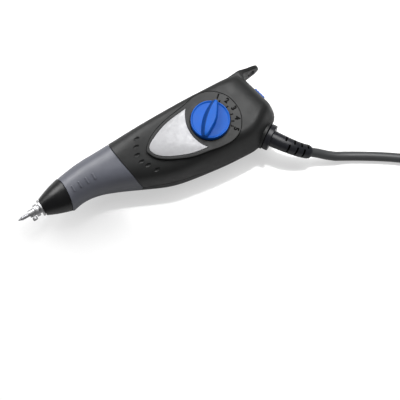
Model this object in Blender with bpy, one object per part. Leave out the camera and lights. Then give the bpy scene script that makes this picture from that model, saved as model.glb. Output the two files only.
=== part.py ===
"""Electric engraving pen with a stroke dial, a slide switch and its mains lead.

The pen lies on its back half with the dial up. The nose axis runs along X with
the point at the low end, +Y is the spine with the hanging eye, and +Z the dial.
Pieces are placed in the pen's own frame: the point's tip at zero and the nose
axis HALF_THICKNESS above the surface. One empty carries that frame, and is
moved so that the middle of the pen's box stands over the world's origin.
"""

import math

import bmesh
import bpy
import numpy as np
from mathutils import Matrix, Vector

# Fits shared by all pieces
GAP = 0.0003
RUN = 0.00045
OVERRUN = 0.001
FAR = 0.060

# Housing form, from the sleeve's front to the rear wall
SLEEVE_FRONT_X = 0.036
FORM_LENGTH = 0.144
FORM_DEPTH = 0.0496
HALF_THICKNESS = 0.021
JOINT_share = 0.312
WALL = 0.0022
FORM_STEPS = 17
SLEEVE_STEPS = 9
SECTION_POINTS = 36
DRAFT_WEIGHT = 0.5
# Place, spine, belly, half thickness, squareness of belly and of spine, draft, lean
FORM_shares = (
    (0.000, 0.230, -0.248, 0.567, 2.0, 2.0, 0.00, 0.00),
    (0.035, 0.250, -0.226, 0.581, 2.0, 2.0, 0.00, 0.00),
    (0.076, 0.270, -0.220, 0.600, 2.0, 2.0, 0.00, 0.00),
    (0.139, 0.286, -0.250, 0.638, 2.1, 2.1, 0.01, 0.02),
    (0.201, 0.288, -0.315, 0.695, 2.3, 2.2, 0.03, 0.05),
    (0.312, 0.284, -0.460, 0.815, 2.9, 2.9, 0.10, 0.10),
    (0.417, 0.277, -0.585, 0.925, 4.2, 3.9, 0.20, 0.12),
    (0.549, 0.265, -0.680, 0.995, 6.5, 5.2, 0.30, 0.16),
    (0.722, 0.252, -0.752, 1.024, 9.0, 6.4, 0.37, 0.20),
    (0.826, 0.243, -0.750, 1.024, 10.0, 6.0, 0.38, 0.23),
    (0.951, 0.234, -0.565, 1.024, 10.0, 5.2, 0.38, 0.24),
    (1.000, 0.231, -0.468, 1.024, 10.0, 5.0, 0.38, 0.24),
)

# Hanging tab, half of it in each shell
TAB_BEYOND = 0.0115
TAB_END_X = SLEEVE_FRONT_X + FORM_LENGTH + TAB_BEYOND
TAB_REACH = 0.0155
TAB_ROOT = 0.0080
TAB_HALF_WIDTH = 0.0085
TAB_TOP_share = 0.256048
TAB_SQUARE = 2.6
TAB_shares = (0.25, 0.5, 0.7, 0.85, 0.95, 0.995)
TAB_TOP = TAB_TOP_share * FORM_DEPTH
TAB_THICKNESS = 0.0027
TAB_SINK = 0.0015
TAB_FILLET = 0.0036
TAB_EDGE = 0.0007
EYE_BACK = 0.0059
EYE_MIDDLE_X = TAB_END_X - EYE_BACK
EYE_LENGTH = 0.0052
EYE_WIDTH = 0.0068

# Raised panel on the dial side; outlines are shares of its reach from the dial
DIAL_share = 0.725
DIAL_SIDE_share = -0.225806
DIAL_X = SLEEVE_FRONT_X + DIAL_share * FORM_LENGTH
DIAL_Y = DIAL_SIDE_share * FORM_DEPTH
PANEL_LENGTH_share = 0.143056
PANEL_DEPTH_share = 0.415323
PANEL_LENGTH = PANEL_LENGTH_share * FORM_LENGTH
PANEL_DEPTH = PANEL_DEPTH_share * FORM_DEPTH
PANEL_PROUD = 0.0004
PANEL_FLOOR = 0.0036
PANEL_PIECES = 4
PANEL_shares = (
    (-2.213, 0.218),
    (-1.864, 0.519),
    (-1.282, 0.743),
    (-0.485, 0.880),
    (0.049, 0.985),
    (0.519, 0.860),
    (0.870, 0.500),
    (0.990, 0.058),
    (0.940, -0.340),
    (0.680, -0.740),
    (0.311, -0.915),
    (-0.117, -0.910),
    (-0.505, -0.840),
    (-1.078, -0.730),
    (-1.689, -0.465),
    (-2.039, -0.228),
    (-2.204, 0.020),
)
PLATE_shares = (
    (-0.490, -0.709),
    (-1.049, -0.620),
    (-1.646, -0.379),
    (-1.971, -0.165),
    (-2.118, 0.060),
    (-2.090, 0.250),
    (-1.816, 0.437),
    (-1.243, 0.655),
    (-0.461, 0.767),
)
PLATE_BOW = 0.0055
PLATE_THICKNESS = 0.0007
PLATE_SEAT = 0.0009

# Stroke dial, its boss in the shell and the cam below
DIAL_RADIUS = 0.0129
DIAL_SEAT = 0.0018
DIAL_THICKNESS = 0.0054
DIAL_CROWN = 0.0006
RIDGE_RISE = 0.0045
RIDGE_WIDTH = 0.0062
RIDGE_BOW = 0.0022
RIDGE_REST = 43.0
RIDGE_STEPS = 8
STEM_RADIUS = 0.0040
STEM_LENGTH = 0.0098
BOSS_RADIUS = 0.0148
BOSS_DEPTH = 0.0056
CAM_RADIUS = 0.0078
CAM_THROW = 0.0015
CAM_HEIGHT = 0.0072
CAM_STEPS = 40
CAM_LEAD = 14.0

# Finger dimples round the panel's nose, as shares of the form's length and depth
DIMPLE_LENGTH = 0.0054
DIMPLE_WIDTH = 0.0031
DIMPLE_DEPTH = 0.0009
DIMPLE_HEIGHT = 0.0022
DIMPLE_shares = (
    (0.394, 0.075),
    (0.373, -0.020),
    (0.358, -0.123),
    (0.360, -0.230),
    (0.377, -0.317),
    (0.401, -0.427),
)

# Grip ribs on the sleeve: places along it and across it
RIB_LENGTH = 0.0046
RIB_WIDTH = 0.0013
RIB_PROUD = 0.0005
RIB_shares = (0.026, 0.062, 0.098, 0.134)
RIB_SIDE_share = -0.052

# Nose cone, chrome ring and bush
CONE_FRONT_X = 0.0182
CONE_FRONT_RADIUS = 0.0060
CONE_REAR_share = 0.237903
CONE_TALL_share = 0.561905
CONE_REAR_RADIUS = min(CONE_REAR_share * FORM_DEPTH, CONE_TALL_share * HALF_THICKNESS)
CONE_SWELL = 0.0006
CONE_STEPS = 8
CONE_AXIS_Y = -0.0002
SPIGOT_LENGTH = 0.0045
CONE_BORE_RADIUS = 0.0049
RING_FLANGE = 0.0015
RING_TUBE = 0.0045
BUSH_share = 0.141129
BUSH_RADIUS = BUSH_share * FORM_DEPTH
BUSH_LENGTH = 0.0120
SEAT_WIDTH = 0.0015
TURN_STEPS = 28

# Plunger, point and clamp screw
ROD_RADIUS = 0.0030
ROD_FRONT_X = 0.0082
ROD_FRONT_RADIUS = 0.0026
ROD_HEAD_X = 0.0126
ROD_HEAD_RADIUS = 0.0042
ROD_HEAD_LENGTH = 0.0026
SHOULDER_X = 0.0520
SHOULDER_RADIUS = 0.0058
SHOULDER_LENGTH = 0.0022
ROD_END_RADIUS = 0.0023
POINT_RADIUS = 0.0013
POINT_LENGTH = 0.0210
POINT_CONE = 0.0030
POINT_FLAT = 0.0002
STROKE = 0.00075
CLAMP_SCREW_X = 0.0104
CLAMP_SCREW_RADIUS = 0.0009
CLAMP_HEAD_RADIUS = 0.0017
CLAMP_HEAD_LENGTH = 0.0018
CLAMP_REACH = 0.0036

# Return spring
SPRING_WIRE = 0.0009
SPRING_RADIUS = 0.0045
SPRING_TURNS = 6
SPRING_TURN_POINTS = 10

# Magnet: armature, core, bobbin and winding
ARMATURE_share = 0.388889
ARMATURE_X = SLEEVE_FRONT_X + ARMATURE_share * FORM_LENGTH
ARMATURE_LENGTH = 0.0045
ARMATURE_TALL = 0.0055
NUT_LENGTH = 0.0027
NUT_RADIUS = 0.0044
NUT_SIDES = 6
MAGNET_SIDE_share = -0.060484
MAGNET_Y = MAGNET_SIDE_share * FORM_DEPTH
CORE_DEPTH_share = 0.443548
CORE_DEPTH = CORE_DEPTH_share * FORM_DEPTH
CORE_STACK = 0.0160
AIR_GAP = 0.0012
CORE_LENGTH_share = 0.166667
CORE_LENGTH = CORE_LENGTH_share * FORM_LENGTH
CORE_YOKE = 0.0045
CORE_LEG_share = 0.15909105
CORE_LEG = CORE_LEG_share * CORE_DEPTH
CORE_MIDDLE_share = 0.29090934
CORE_MIDDLE = CORE_MIDDLE_share * CORE_DEPTH
BOBBIN_WALL = 0.0009
BOBBIN_FLANGE = 0.0010
SADDLE_WIDTH = 0.0024

# Stroke bar between cam and armature
BAR_WIDTH = 0.0034
BAR_HEIGHT = 0.0032
BAR_RIB = 0.0014

# Screws that hold the two shells
SCREW_RADIUS = 0.0013
SCREW_HEAD_RADIUS = 0.0027
SCREW_HEAD_LENGTH = 0.0020
SCREW_LENGTH = 0.0200
SCREW_BOSS_RADIUS = 0.0036
SCREW_SEAT = 0.0080
SLOT_WIDTH = 0.0009
SLOT_DEPTH = 0.0009
SCREW_shares = (
    (0.355, -0.333),
    (0.650, 0.085),
    (0.640, -0.454),
    (0.905, 0.060),
)

# Slide switch in the rear wall
SWITCH_SIDE_share = -0.173387
SWITCH_Y = SWITCH_SIDE_share * FORM_DEPTH
SWITCH_TRAVEL = 0.0050
SLIDER_LENGTH = 0.0088
SLIDER_WIDTH = 0.0060
SLIDER_PROUD = 0.0011
SLIDER_FLANGE = 0.0014
SLIDER_LAP = 0.0012
SWITCH_LENGTH_share = 0.240
SWITCH_LENGTH = SWITCH_LENGTH_share * FORM_DEPTH
SWITCH_WIDTH = 0.0100
SWITCH_DEPTH = 0.0062

# Strain relief on the chamfered rear corner
RELIEF_share = 0.940972
RELIEF_SIDE_share = -0.673387
RELIEF_X = SLEEVE_FRONT_X + RELIEF_share * FORM_LENGTH
RELIEF_Y = RELIEF_SIDE_share * FORM_DEPTH
RELIEF_ANGLE = -57.0
RELIEF_FLANGE_RADIUS = 0.0090
RELIEF_FLANGE_LENGTH = 0.0040
RELIEF_PAD = 0.0030
RELIEF_PAD_EDGE = 0.0006
RELIEF_NECK_RADIUS = 0.0062
RELIEF_INNER_RADIUS = 0.0082
RELIEF_INNER_LENGTH = 0.0020
RELIEF_ROOT_RADIUS = 0.0057
RELIEF_END_RADIUS = 0.0043
RELIEF_LENGTH = 0.0290
RELIEF_BEND = 28.0
RELIEF_DROP = 26.0
RELIEF_EASE = 1.5
RELIEF_EARLY = 1.6
RELIEF_TAPER = 0.8
RELIEF_STEPS = 14
RELIEF_SIDES = 16

# Cord clamp inside the housing
CLAMP_LENGTH = 0.0060
CLAMP_HALF_WIDTH = 0.0062
CLAMP_THICKNESS = 0.0022
CLAMP_POST = 0.0027
CLAMP_SCREW_DEPTH = 0.0080

# Mains lead, its coil, tie and plug
CORD_RADIUS = 0.0032
CORD_BED = 0.0034
CORD_SPACING = 2.2
ROUTE_PIECES = 8
CORD_route = (
    (0.0345, -0.0316, 0.0060),
    (0.0445, -0.0366, 0.0036),
    (0.0585, -0.0451, 0.0034),
    (0.0725, -0.0546, 0.0034),
    (0.0885, -0.0676, 0.0034),
    (0.1005, -0.0766, 0.0034),
)
TAIL_route = (
    (0.1833, -0.0591, 0.0200),
    (0.1880, -0.0466, 0.0130),
    (0.1890, -0.0326, 0.0066),
    (0.1855, -0.0186, 0.0044),
    (0.1775, -0.0076, 0.0050),
)
COIL_AHEAD = 0.1365
COIL_ASIDE = 0.0496
COIL_X = RELIEF_X + COIL_AHEAD
COIL_Y = RELIEF_Y - COIL_ASIDE
COIL_INNER_RADIUS = 0.0290
COIL_START = 240.0
COIL_TURNS = 7.25
COIL_LAYERS = 4
COIL_POINTS = 24
COIL_PITCH = 0.0071
TIE_ANGLE = 120.0
TIE_WIDTH = 0.0060
TIE_THICKNESS = 0.0012
TIE_CLEARANCE = 0.0006
PLUG_AHEAD = 0.1725
PLUG_ASIDE = 0.0016
PLUG_X = RELIEF_X + PLUG_AHEAD
PLUG_Y = RELIEF_Y - PLUG_ASIDE
PLUG_ANGLE = 138.0
PLUG_LENGTH = 0.0360
PLUG_WIDTH = 0.0350
PLUG_THICKNESS = 0.0140
PLUG_PIN_RADIUS = 0.0020
PLUG_PIN_LENGTH = 0.0190
PLUG_PIN_SEAT = 0.0040
PLUG_PIN_SPREAD = 0.0190
PLUG_EDGE = 0.0022

# Plug's place along it, and shares of its width and thickness there
PLUG_shares = (
    (0.00, 0.343, 0.70),
    (0.30, 0.377, 0.78),
    (0.48, 0.720, 0.95),
    (0.62, 1.000, 1.00),
    (0.96, 1.000, 1.00),
    (1.00, 0.937, 0.90),
)


# Shared tools


def smooth_row(rows, place):
    """The row's values at a place, on a smooth curve through all rows."""
    table = np.array(rows)
    keys = table[:, 0]
    slopes = np.gradient(table, keys, axis=0)
    index = int(np.clip(np.searchsorted(keys, place) - 1, 0, len(keys) - 2))
    span = keys[index + 1] - keys[index]
    t = (place - keys[index]) / span
    start, end = table[index], table[index + 1]
    return (
        (2 * t**3 - 3 * t**2 + 1) * start
        + (t**3 - 2 * t**2 + t) * span * slopes[index]
        + (3 * t**2 - 2 * t**3) * end
        + (t**3 - t**2) * span * slopes[index + 1]
    )


def smooth_path(points, pieces, closed=False):
    """Points on a Catmull-Rom curve through the given ones."""
    corners = [np.array(point, float) for point in points]
    if closed:
        corners = [corners[-1], *corners, corners[0], corners[1]]
    else:
        corners = [2 * corners[0] - corners[1], *corners, 2 * corners[-1] - corners[-2]]
    path = []
    for a, b, c, d in zip(corners, corners[1:], corners[2:], corners[3:]):
        for step in range(pieces):
            t = step / pieces
            bend = (2 * a - 5 * b + 4 * c - d) * t * t + (3 * b - a - 3 * c + d) * t**3
            path.append(b + ((c - a) * t + bend) / 2)
    if not closed:
        path.append(corners[-2])
    return path


def grown(outline, distance):
    """A closed outline moved outwards; it runs counterclockwise or is turned so."""
    points = np.array(outline)
    after = np.roll(points, -1, axis=0)
    before = np.roll(points, 1, axis=0)
    area = (points[:, 0] * after[:, 1] - after[:, 0] * points[:, 1]).sum()
    along = after - before
    along /= np.linalg.norm(along, axis=1)[:, None]
    outward = np.stack([along[:, 1], -along[:, 0]], axis=1) * math.copysign(1, area)
    return points + outward * distance


def material(name, colour, roughness, metallic=0.0):
    found = bpy.data.materials.new(name)
    found.use_nodes = True
    shader = found.node_tree.nodes["Principled BSDF"]
    shader.inputs["Base Color"].default_value = (*colour, 1)
    shader.inputs["Roughness"].default_value = roughness
    shader.inputs["Metallic"].default_value = metallic
    found.diffuse_color = (*colour, 1)
    return found


def add(name, shape, finish=None, parent=None, at=(0, 0, 0), turn=(0, 0, 0)):
    """One object from a bmesh, placed under a parent; without a finish it's a cutter."""
    bmesh.ops.recalc_face_normals(shape, faces=shape.faces)
    mesh = bpy.data.meshes.new(name)
    shape.to_mesh(mesh)
    shape.free()
    piece = bpy.data.objects.new(name, mesh)
    bpy.context.scene.collection.objects.link(piece)
    piece.parent = parent
    piece.location = at
    piece.rotation_euler = turn
    if finish is None:
        piece.hide_render = True
        piece.display_type = "WIRE"
    else:
        mesh.materials.append(finish)
        mesh.shade_smooth()
        mesh.set_sharp_from_angle(angle=math.radians(30))
    return piece


def empty(name, parent=None, at=(0, 0, 0), turn=(0, 0, 0)):
    frame = bpy.data.objects.new(name, None)
    bpy.context.scene.collection.objects.link(frame)
    frame.parent = parent
    frame.location = at
    frame.rotation_euler = turn
    return frame


def combine(piece, operation, *tools):
    """A live Boolean for each tool."""
    for tool in tools:
        step = piece.modifiers.new(tool.name, "BOOLEAN")
        step.operation = operation
        step.solver = "EXACT"
        step.object = tool


def lofted(rings):
    """A closed skin over rings that have the same number of points."""
    shape = bmesh.new()
    loops = [[shape.verts.new(point) for point in ring] for ring in rings]
    count = len(loops[0])
    for low, high in zip(loops, loops[1:]):
        for i in range(count):
            j = (i + 1) % count
            shape.faces.new((low[i], low[j], high[j], high[i]))
    bmesh.ops.triangulate(shape, faces=shape.faces[:])
    shape.faces.new(loops[0])
    shape.faces.new(loops[-1])
    return shape


def turned(profile, steps=TURN_STEPS):
    """A profile of (along X, radius) turned about X; a loop gives a ring with a bore.

    An end on the axis closes with one flat face, or with a cone where it slopes.
    """
    shape = bmesh.new()
    bored = all(radius > 0 for _, radius in profile)
    flat_ends = [] if bored else [a for a, b in ((0, 1), (-1, -2)) if profile[a][0] == profile[b][0]]
    middle = profile[1 if 0 in flat_ends else 0 : -1 if -1 in flat_ends else None]
    columns = []
    poles = {}
    for step in range(steps):
        angle = math.tau * step / steps
        column = []
        for x, radius in middle:
            if radius > 0:
                point = (x, radius * math.cos(angle), radius * math.sin(angle))
                column.append(shape.verts.new(point))
            else:
                if x not in poles:
                    poles[x] = shape.verts.new((x, 0, 0))
                column.append(poles[x])
        columns.append(column)
    count = len(middle)
    for a, b in zip(columns, columns[1:] + columns[:1]):
        for i in range(count if bored else count - 1):
            j = (i + 1) % count
            corners = dict.fromkeys((a[i], a[j], b[j], b[i]))
            if len(corners) > 2:
                shape.faces.new(tuple(corners))
    for end in flat_ends:
        shape.faces.new([column[end] for column in columns])
    return shape


def ring(x0, x1, outer, inner, steps=TURN_STEPS):
    return turned([(x0, inner), (x0, outer), (x1, outer), (x1, inner)], steps)


def rod(x0, x1, radius, steps=TURN_STEPS):
    return turned([(x0, 0), (x0, radius), (x1, radius), (x1, 0)], steps)


def block(low, high):
    shape = bmesh.new()
    size = Vector(high) - Vector(low)
    middle = (Vector(high) + Vector(low)) / 2
    grow = Matrix.Translation(middle) @ Matrix.Diagonal((*size, 1))
    bmesh.ops.create_cube(shape, size=1, matrix=grow)
    return shape


def prism(outline, low, high):
    """An outline in X and Y drawn up from one height to another."""
    return lofted([[(x, y, z) for x, y in outline] for z in (low, high)])


def moved(shape, at=(0, 0, 0), turn=0.0, axis="Z"):
    shape.transform(Matrix.Translation(at) @ Matrix.Rotation(math.radians(turn), 4, axis))
    return shape


def upright(shape, at):
    """A shape turned about X stood up along Z, its low end at the place given."""
    return moved(shape, at, -90, "Y")


# Housing form


def section(share, inset=0.0):
    """The housing's outline at a place along it: a squared oval with a drafted belly.

    Each flat side pulls the outline in by its own plane, and the squareness says
    how sharply the planes meet. The outline leans so that the rear wall slants.
    """
    row = smooth_row(FORM_shares, share)
    _, spine, belly, half, belly_square, spine_square, draft, lean = row
    top = spine * FORM_DEPTH - inset
    bottom = belly * FORM_DEPTH + inset
    height = half * HALF_THICKNESS - inset
    flat = HALF_THICKNESS - inset
    middle = (top + bottom) / 2
    width = (top - bottom) / 2
    x = SLEEVE_FRONT_X + share * FORM_LENGTH
    points = []
    for index in range(SECTION_POINTS):
        angle = math.tau * index / SECTION_POINTS
        along = Vector((width * math.cos(angle), height * math.sin(angle))).normalized()
        squareness = belly_square + (spine_square - belly_square) * (1 + along.x) / 2
        rise = along.y * math.tan(draft)
        planes = (
            (1.0, along.x / width),
            (1.0, abs(along.y) / height),
            (DRAFT_WEIGHT, (rise - along.x) / width),
            (DRAFT_WEIGHT, (-rise - along.x) / width),
        )
        pull = sum(weight * max(0.0, reach) ** squareness for weight, reach in planes)
        reach = pull ** (-1 / squareness)
        y = middle + reach * along.x
        z = max(-flat, min(flat, reach * along.y))
        points.append((x - lean * y, y, HALF_THICKNESS + z))
    return points


def form(start, end, steps, inset=0.0):
    """The housing's form between two places along it."""
    places = np.linspace(start, end, steps)
    return lofted([section(place, inset) for place in places])


def form_height(x, y):
    """How high the dial side is above the surface at a place."""
    share = (x - SLEEVE_FRONT_X) / FORM_LENGTH
    for _ in range(4):
        lean = smooth_row(FORM_shares, share)[7]
        share = (x + lean * y - SLEEVE_FRONT_X) / FORM_LENGTH
    upper = [point for point in section(share) if point[2] >= HALF_THICKNESS]
    upper.sort(key=lambda point: point[1])
    ys = [point[1] for point in upper]
    zs = [point[2] for point in upper]
    return float(np.interp(y, ys, zs))


def form_place(place, side):
    """X and Y at shares of the form's length and depth."""
    return SLEEVE_FRONT_X + place * FORM_LENGTH, side * FORM_DEPTH


# Shells


def tab_rings():
    """The hanging tab, drawn along X from inside the housing to its round end."""
    lean = smooth_row(FORM_shares, 1.0)[7]
    under = TAB_TOP - TAB_THICKNESS
    wall = SLEEVE_FRONT_X + FORM_LENGTH - lean * (under - TAB_FILLET)
    start = TAB_END_X - TAB_REACH
    stations = [(start - TAB_ROOT, under - 2 * TAB_FILLET, TAB_TOP - TAB_SINK)]
    stations.append((wall - TAB_SINK, under - 2 * TAB_FILLET, TAB_TOP - TAB_SINK / 4))
    for step in range(5):
        angle = math.radians(90) * step / 4
        x = wall + TAB_FILLET * (1 - math.cos(angle))
        stations.append((x, under - TAB_FILLET * (1 - math.sin(angle)), TAB_TOP))
    reach = TAB_END_X - stations[-1][0]
    for share in TAB_shares:
        x = stations[6][0] + share * reach
        stations.append((x, under + share**2 * TAB_EDGE / 2, TAB_TOP))
    rings = []
    for x, low, top in stations:
        ahead = max(0.0, (x - start) / TAB_REACH)
        half = TAB_HALF_WIDTH * max(0.0, 1 - ahead**TAB_SQUARE) ** (1 / TAB_SQUARE)
        edge = min(TAB_EDGE, half / 2)
        rings.append(
            [
                (x, y, HALF_THICKNESS + z)
                for y, z in (
                    (low, half - edge),
                    (low + edge, half),
                    (top - edge, half),
                    (top, half - edge),
                    (top, edge - half),
                    (top - edge, -half),
                    (low + edge, -half),
                    (low, edge - half),
                )
            ]
        )
    return rings


def panel_outline():
    places = [(DIAL_X + a * PANEL_LENGTH, DIAL_Y + b * PANEL_DEPTH) for a, b in PANEL_shares]
    return smooth_path(places, PANEL_PIECES // 2, closed=True)


def plate_outline():
    """The name plate: a smooth nose, and a bowed end that faces the dial."""
    places = [(DIAL_X + a * PANEL_LENGTH, DIAL_Y + b * PANEL_DEPTH) for a, b in PLATE_shares]
    outline = smooth_path(places, PANEL_PIECES)
    start, end = Vector(outline[-1]), Vector(outline[0])
    half = (start - end).length / 2
    radius = (half**2 + PLATE_BOW**2) / (2 * PLATE_BOW)
    middle = (start + end) / 2
    inward = Vector((start.y - end.y, end.x - start.x)).normalized()
    centre = middle - inward * (radius - PLATE_BOW) * math.copysign(1, -inward.x)
    if (centre - middle).x < 0:
        centre = 2 * middle - centre
    span = math.asin(half / radius)
    facing = math.atan2((middle - centre).y, (middle - centre).x)
    for step in range(1, 2 * PANEL_PIECES):
        angle = facing - span + 2 * span * step / (2 * PANEL_PIECES)
        x = centre.x + radius * math.cos(angle)
        y = centre.y + radius * math.sin(angle)
        outline.append(np.array((x, y)))
    return outline


def screw_places():
    return [form_place(place, side) for place, side in SCREW_shares]


def relief_frame(pen):
    """Its X axis points out of the housing at the strain relief."""
    return empty(
        "relief_frame",
        pen,
        (RELIEF_X, RELIEF_Y, HALF_THICKNESS),
        (0, 0, math.radians(RELIEF_ANGLE)),
    )


def switch_frame(pen):
    """Its X axis points out of the rear wall, at the middle of the switch's slot."""
    lean = smooth_row(FORM_shares, 1.0)[7]
    x = SLEEVE_FRONT_X + FORM_LENGTH - lean * SWITCH_Y
    return empty("switch_frame", pen, (x, SWITCH_Y, HALF_THICKNESS), (0, 0, math.atan(lean)))


def shell(name, side, finish, pen, tools):
    """One half of the housing; side is 1 for the dial side and -1 for the back."""
    body = add(name, form(JOINT_share, 1.0, FORM_STEPS), finish, pen)
    combine(body, "UNION", tools["tab"])
    combine(body, "DIFFERENCE", tools["hollow"])
    combine(body, "UNION", *tools["fittings"], *tools[name])
    low = -FAR if side > 0 else HALF_THICKNESS - GAP / 2
    high = HALF_THICKNESS + GAP / 2 if side > 0 else 2 * HALF_THICKNESS + FAR
    away = add(name + "_away", block((-FAR, -2 * FAR, low), (4 * FAR, 2 * FAR, high)), None, pen)
    combine(body, "DIFFERENCE", away, *tools["cuts"], *tools[name + "_cuts"])
    return body


def shell_tools(pen, relief, switch):
    """Everything that is added to or cut from the two shells."""
    back = OVERRUN / FORM_LENGTH
    hollow = form(JOINT_share - back, 1 - WALL / FORM_LENGTH, FORM_STEPS, WALL)
    room = form(JOINT_share, 1 - WALL / 2 / FORM_LENGTH, FORM_STEPS, WALL / 2)
    tools = {
        "tab": add("tab", lofted(tab_rings()), None, pen),
        "hollow": add("hollow", hollow, None, pen),
        "fittings": [],
        "cuts": [],
        "dial_side_shell": [],
        "dial_side_shell_cuts": [],
        "back_shell": [],
        "back_shell_cuts": [],
    }
    room = add("room", room, None, pen)

    def fit(kind, name, shape, parent=pen, inside=True):
        tool = add(name, shape, None, parent)
        if inside:
            combine(tool, "INTERSECT", room)
        tools[kind].append(tool)

    # Screw bosses, in line through both shells
    for number, (x, y) in enumerate(screw_places(), 1):
        boss = rod(0, 2 * HALF_THICKNESS, SCREW_BOSS_RADIUS, TURN_STEPS // 2)
        fit("fittings", f"boss_{number}", upright(boss, (x, y, 0)))
        hole = rod(0, SCREW_SEAT + SCREW_LENGTH + GAP, SCREW_RADIUS + GAP, TURN_STEPS // 2)
        sunk = rod(0, SCREW_SEAT + OVERRUN, SCREW_HEAD_RADIUS + GAP, TURN_STEPS // 2)
        fit("cuts", f"screw_hole_{number}", upright(hole, (x, y, 0)), inside=False)
        fit("back_shell_cuts", f"screw_seat_{number}", upright(sunk, (x, y, -OVERRUN)), inside=False)

    # Pad that the strain relief grips, with its bore
    pad = rod(-RELIEF_PAD - OVERRUN, 0, RELIEF_FLANGE_RADIUS + RELIEF_PAD_EDGE)
    behind = RELIEF_PAD + RELIEF_INNER_LENGTH + 2 * OVERRUN
    front = RELIEF_FLANGE_RADIUS + GAP
    bore = turned([
        (-behind - OVERRUN, 0),
        (-behind - OVERRUN, RELIEF_NECK_RADIUS + GAP),
        (GAP, RELIEF_NECK_RADIUS + GAP),
        (GAP, front),
        (RELIEF_FLANGE_LENGTH, front),
        (RELIEF_FLANGE_LENGTH, 0),
    ])
    fit("fittings", "relief_pad", pad, relief, inside=False)
    fit("cuts", "relief_bore", bore, relief, inside=False)
    clear = rod(-behind, -RELIEF_PAD, RELIEF_FLANGE_RADIUS + RELIEF_PAD_EDGE + GAP)
    fit("cuts", "relief_room", clear, relief, inside=False)

    # Eye of the hanging tab
    half = Vector((EYE_LENGTH / 2, TAB_THICKNESS * 2, EYE_WIDTH / 2))
    middle = Vector((EYE_MIDDLE_X, TAB_TOP, HALF_THICKNESS))
    fit("cuts", "eye", block(middle - half, middle + half), inside=False)

    # Slot of the switch
    slot_half = (SLIDER_LENGTH + SWITCH_TRAVEL) / 2 + GAP
    slot = block(
        (-WALL - OVERRUN * 2, -slot_half, -SLIDER_WIDTH / 2 - GAP),
        (OVERRUN * 2, slot_half, SLIDER_WIDTH / 2 + GAP),
    )
    fit("cuts", "switch_slot", slot, switch, inside=False)

    # Seats in the back shell for the magnet, the switch and the cord clamp
    low = MAGNET_Y - CORE_DEPTH / 2
    high = MAGNET_Y + CORE_DEPTH / 2
    yoke = core_front() + CORE_LENGTH - (CORE_YOKE + SADDLE_WIDTH) / 2
    legs = core_front() + SADDLE_WIDTH
    saddles = ((yoke, low, high), (legs, low, low + CORE_LEG), (legs, high - CORE_LEG, high))
    for number, (x, start, end) in enumerate(saddles, 1):
        top = HALF_THICKNESS - CORE_STACK / 2 - GAP
        saddle = block((x, start, 0), (x + SADDLE_WIDTH, end, top))
        fit("back_shell", f"saddle_{number}", saddle)
    rest = block(
        (switch_depth() - SWITCH_DEPTH, -SWITCH_LENGTH / 2, -HALF_THICKNESS),
        (switch_depth(), SWITCH_LENGTH / 2, -SWITCH_WIDTH / 2 - GAP),
    )
    fit("back_shell", "switch_rest", rest, switch)
    for number, side in enumerate((-1, 1), 1):
        post = rod(0, HALF_THICKNESS - GAP, CLAMP_POST, TURN_STEPS // 2)
        x, y = relief_point(clamp_along(), side * CLAMP_HALF_WIDTH)
        fit("back_shell", f"clamp_post_{number}", upright(post, (x, y, 0)))
        pilot = rod(0, HALF_THICKNESS, SCREW_RADIUS + GAP, TURN_STEPS // 2)
        place = (x, y, HALF_THICKNESS - CLAMP_SCREW_DEPTH - GAP)
        fit("back_shell_cuts", f"clamp_pilot_{number}", upright(pilot, place), inside=False)

    # Dial side: raised panel, plate seat, dial seat, boss, guide ribs and dimples
    face = 2 * HALF_THICKNESS
    panel = prism(panel_outline(), face - PANEL_FLOOR, face + PANEL_PROUD)
    fit("dial_side_shell", "panel", panel, inside=False)
    dial_boss = rod(0, BOSS_DEPTH, BOSS_RADIUS)
    place = (DIAL_X, DIAL_Y, face - BOSS_DEPTH)
    fit("dial_side_shell", "dial_boss", upright(dial_boss, place))
    for number, side in enumerate((-1, 1), 1):
        near = bar_y() + side * (BAR_WIDTH / 2 + GAP)
        low, high = sorted((near, near + side * BAR_RIB))
        rear = core_front() + CORE_LENGTH
        rib = block((rear - CORE_YOKE, low, bar_floor() + GAP), (rear, high, face))
        fit("dial_side_shell", f"bar_rib_{number}", rib)
    seat = prism(grown(plate_outline(), GAP), face + PANEL_PROUD - PLATE_SEAT, face + FAR)
    fit("dial_side_shell_cuts", "plate_seat", seat, inside=False)
    well = rod(0, FAR, DIAL_RADIUS + RUN)
    place = (DIAL_X, DIAL_Y, face + PANEL_PROUD - DIAL_SEAT)
    fit("dial_side_shell_cuts", "dial_seat", upright(well, place), inside=False)
    hole = rod(0, FAR, STEM_RADIUS + GAP)
    place = (DIAL_X, DIAL_Y, face - BOSS_DEPTH - OVERRUN)
    fit("dial_side_shell_cuts", "stem_hole", upright(hole, place), inside=False)
    for number, (a, b) in enumerate(DIMPLE_shares, 1):
        x, y = form_place(a, b)
        dimple = bmesh.new()
        size = Matrix.Diagonal((DIMPLE_LENGTH, DIMPLE_WIDTH, 2 * DIMPLE_HEIGHT, 1))
        bmesh.ops.create_uvsphere(dimple, u_segments=14, v_segments=8, radius=0.5, matrix=size)
        place = (x, y, form_height(x, y) + DIMPLE_HEIGHT - DIMPLE_DEPTH)
        fit("dial_side_shell_cuts", f"dimple_{number}", moved(dimple, place), inside=False)
    return tools


# Places that several pieces share


def core_front():
    return ARMATURE_X + ARMATURE_LENGTH + AIR_GAP


def bar_floor():
    return HALF_THICKNESS + CORE_STACK / 2 + GAP


def bar_y():
    """The bar slides on the outer leg of the core, clear of the winding."""
    return MAGNET_Y - CORE_DEPTH / 2 + CORE_LEG / 2


def switch_depth():
    """Where the switch's front stands behind the rear wall's outer face."""
    return -WALL - SLIDER_FLANGE - 2 * GAP


def clamp_along():
    return -RELIEF_PAD - RELIEF_INNER_LENGTH - 3 * GAP - CLAMP_LENGTH / 2


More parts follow.
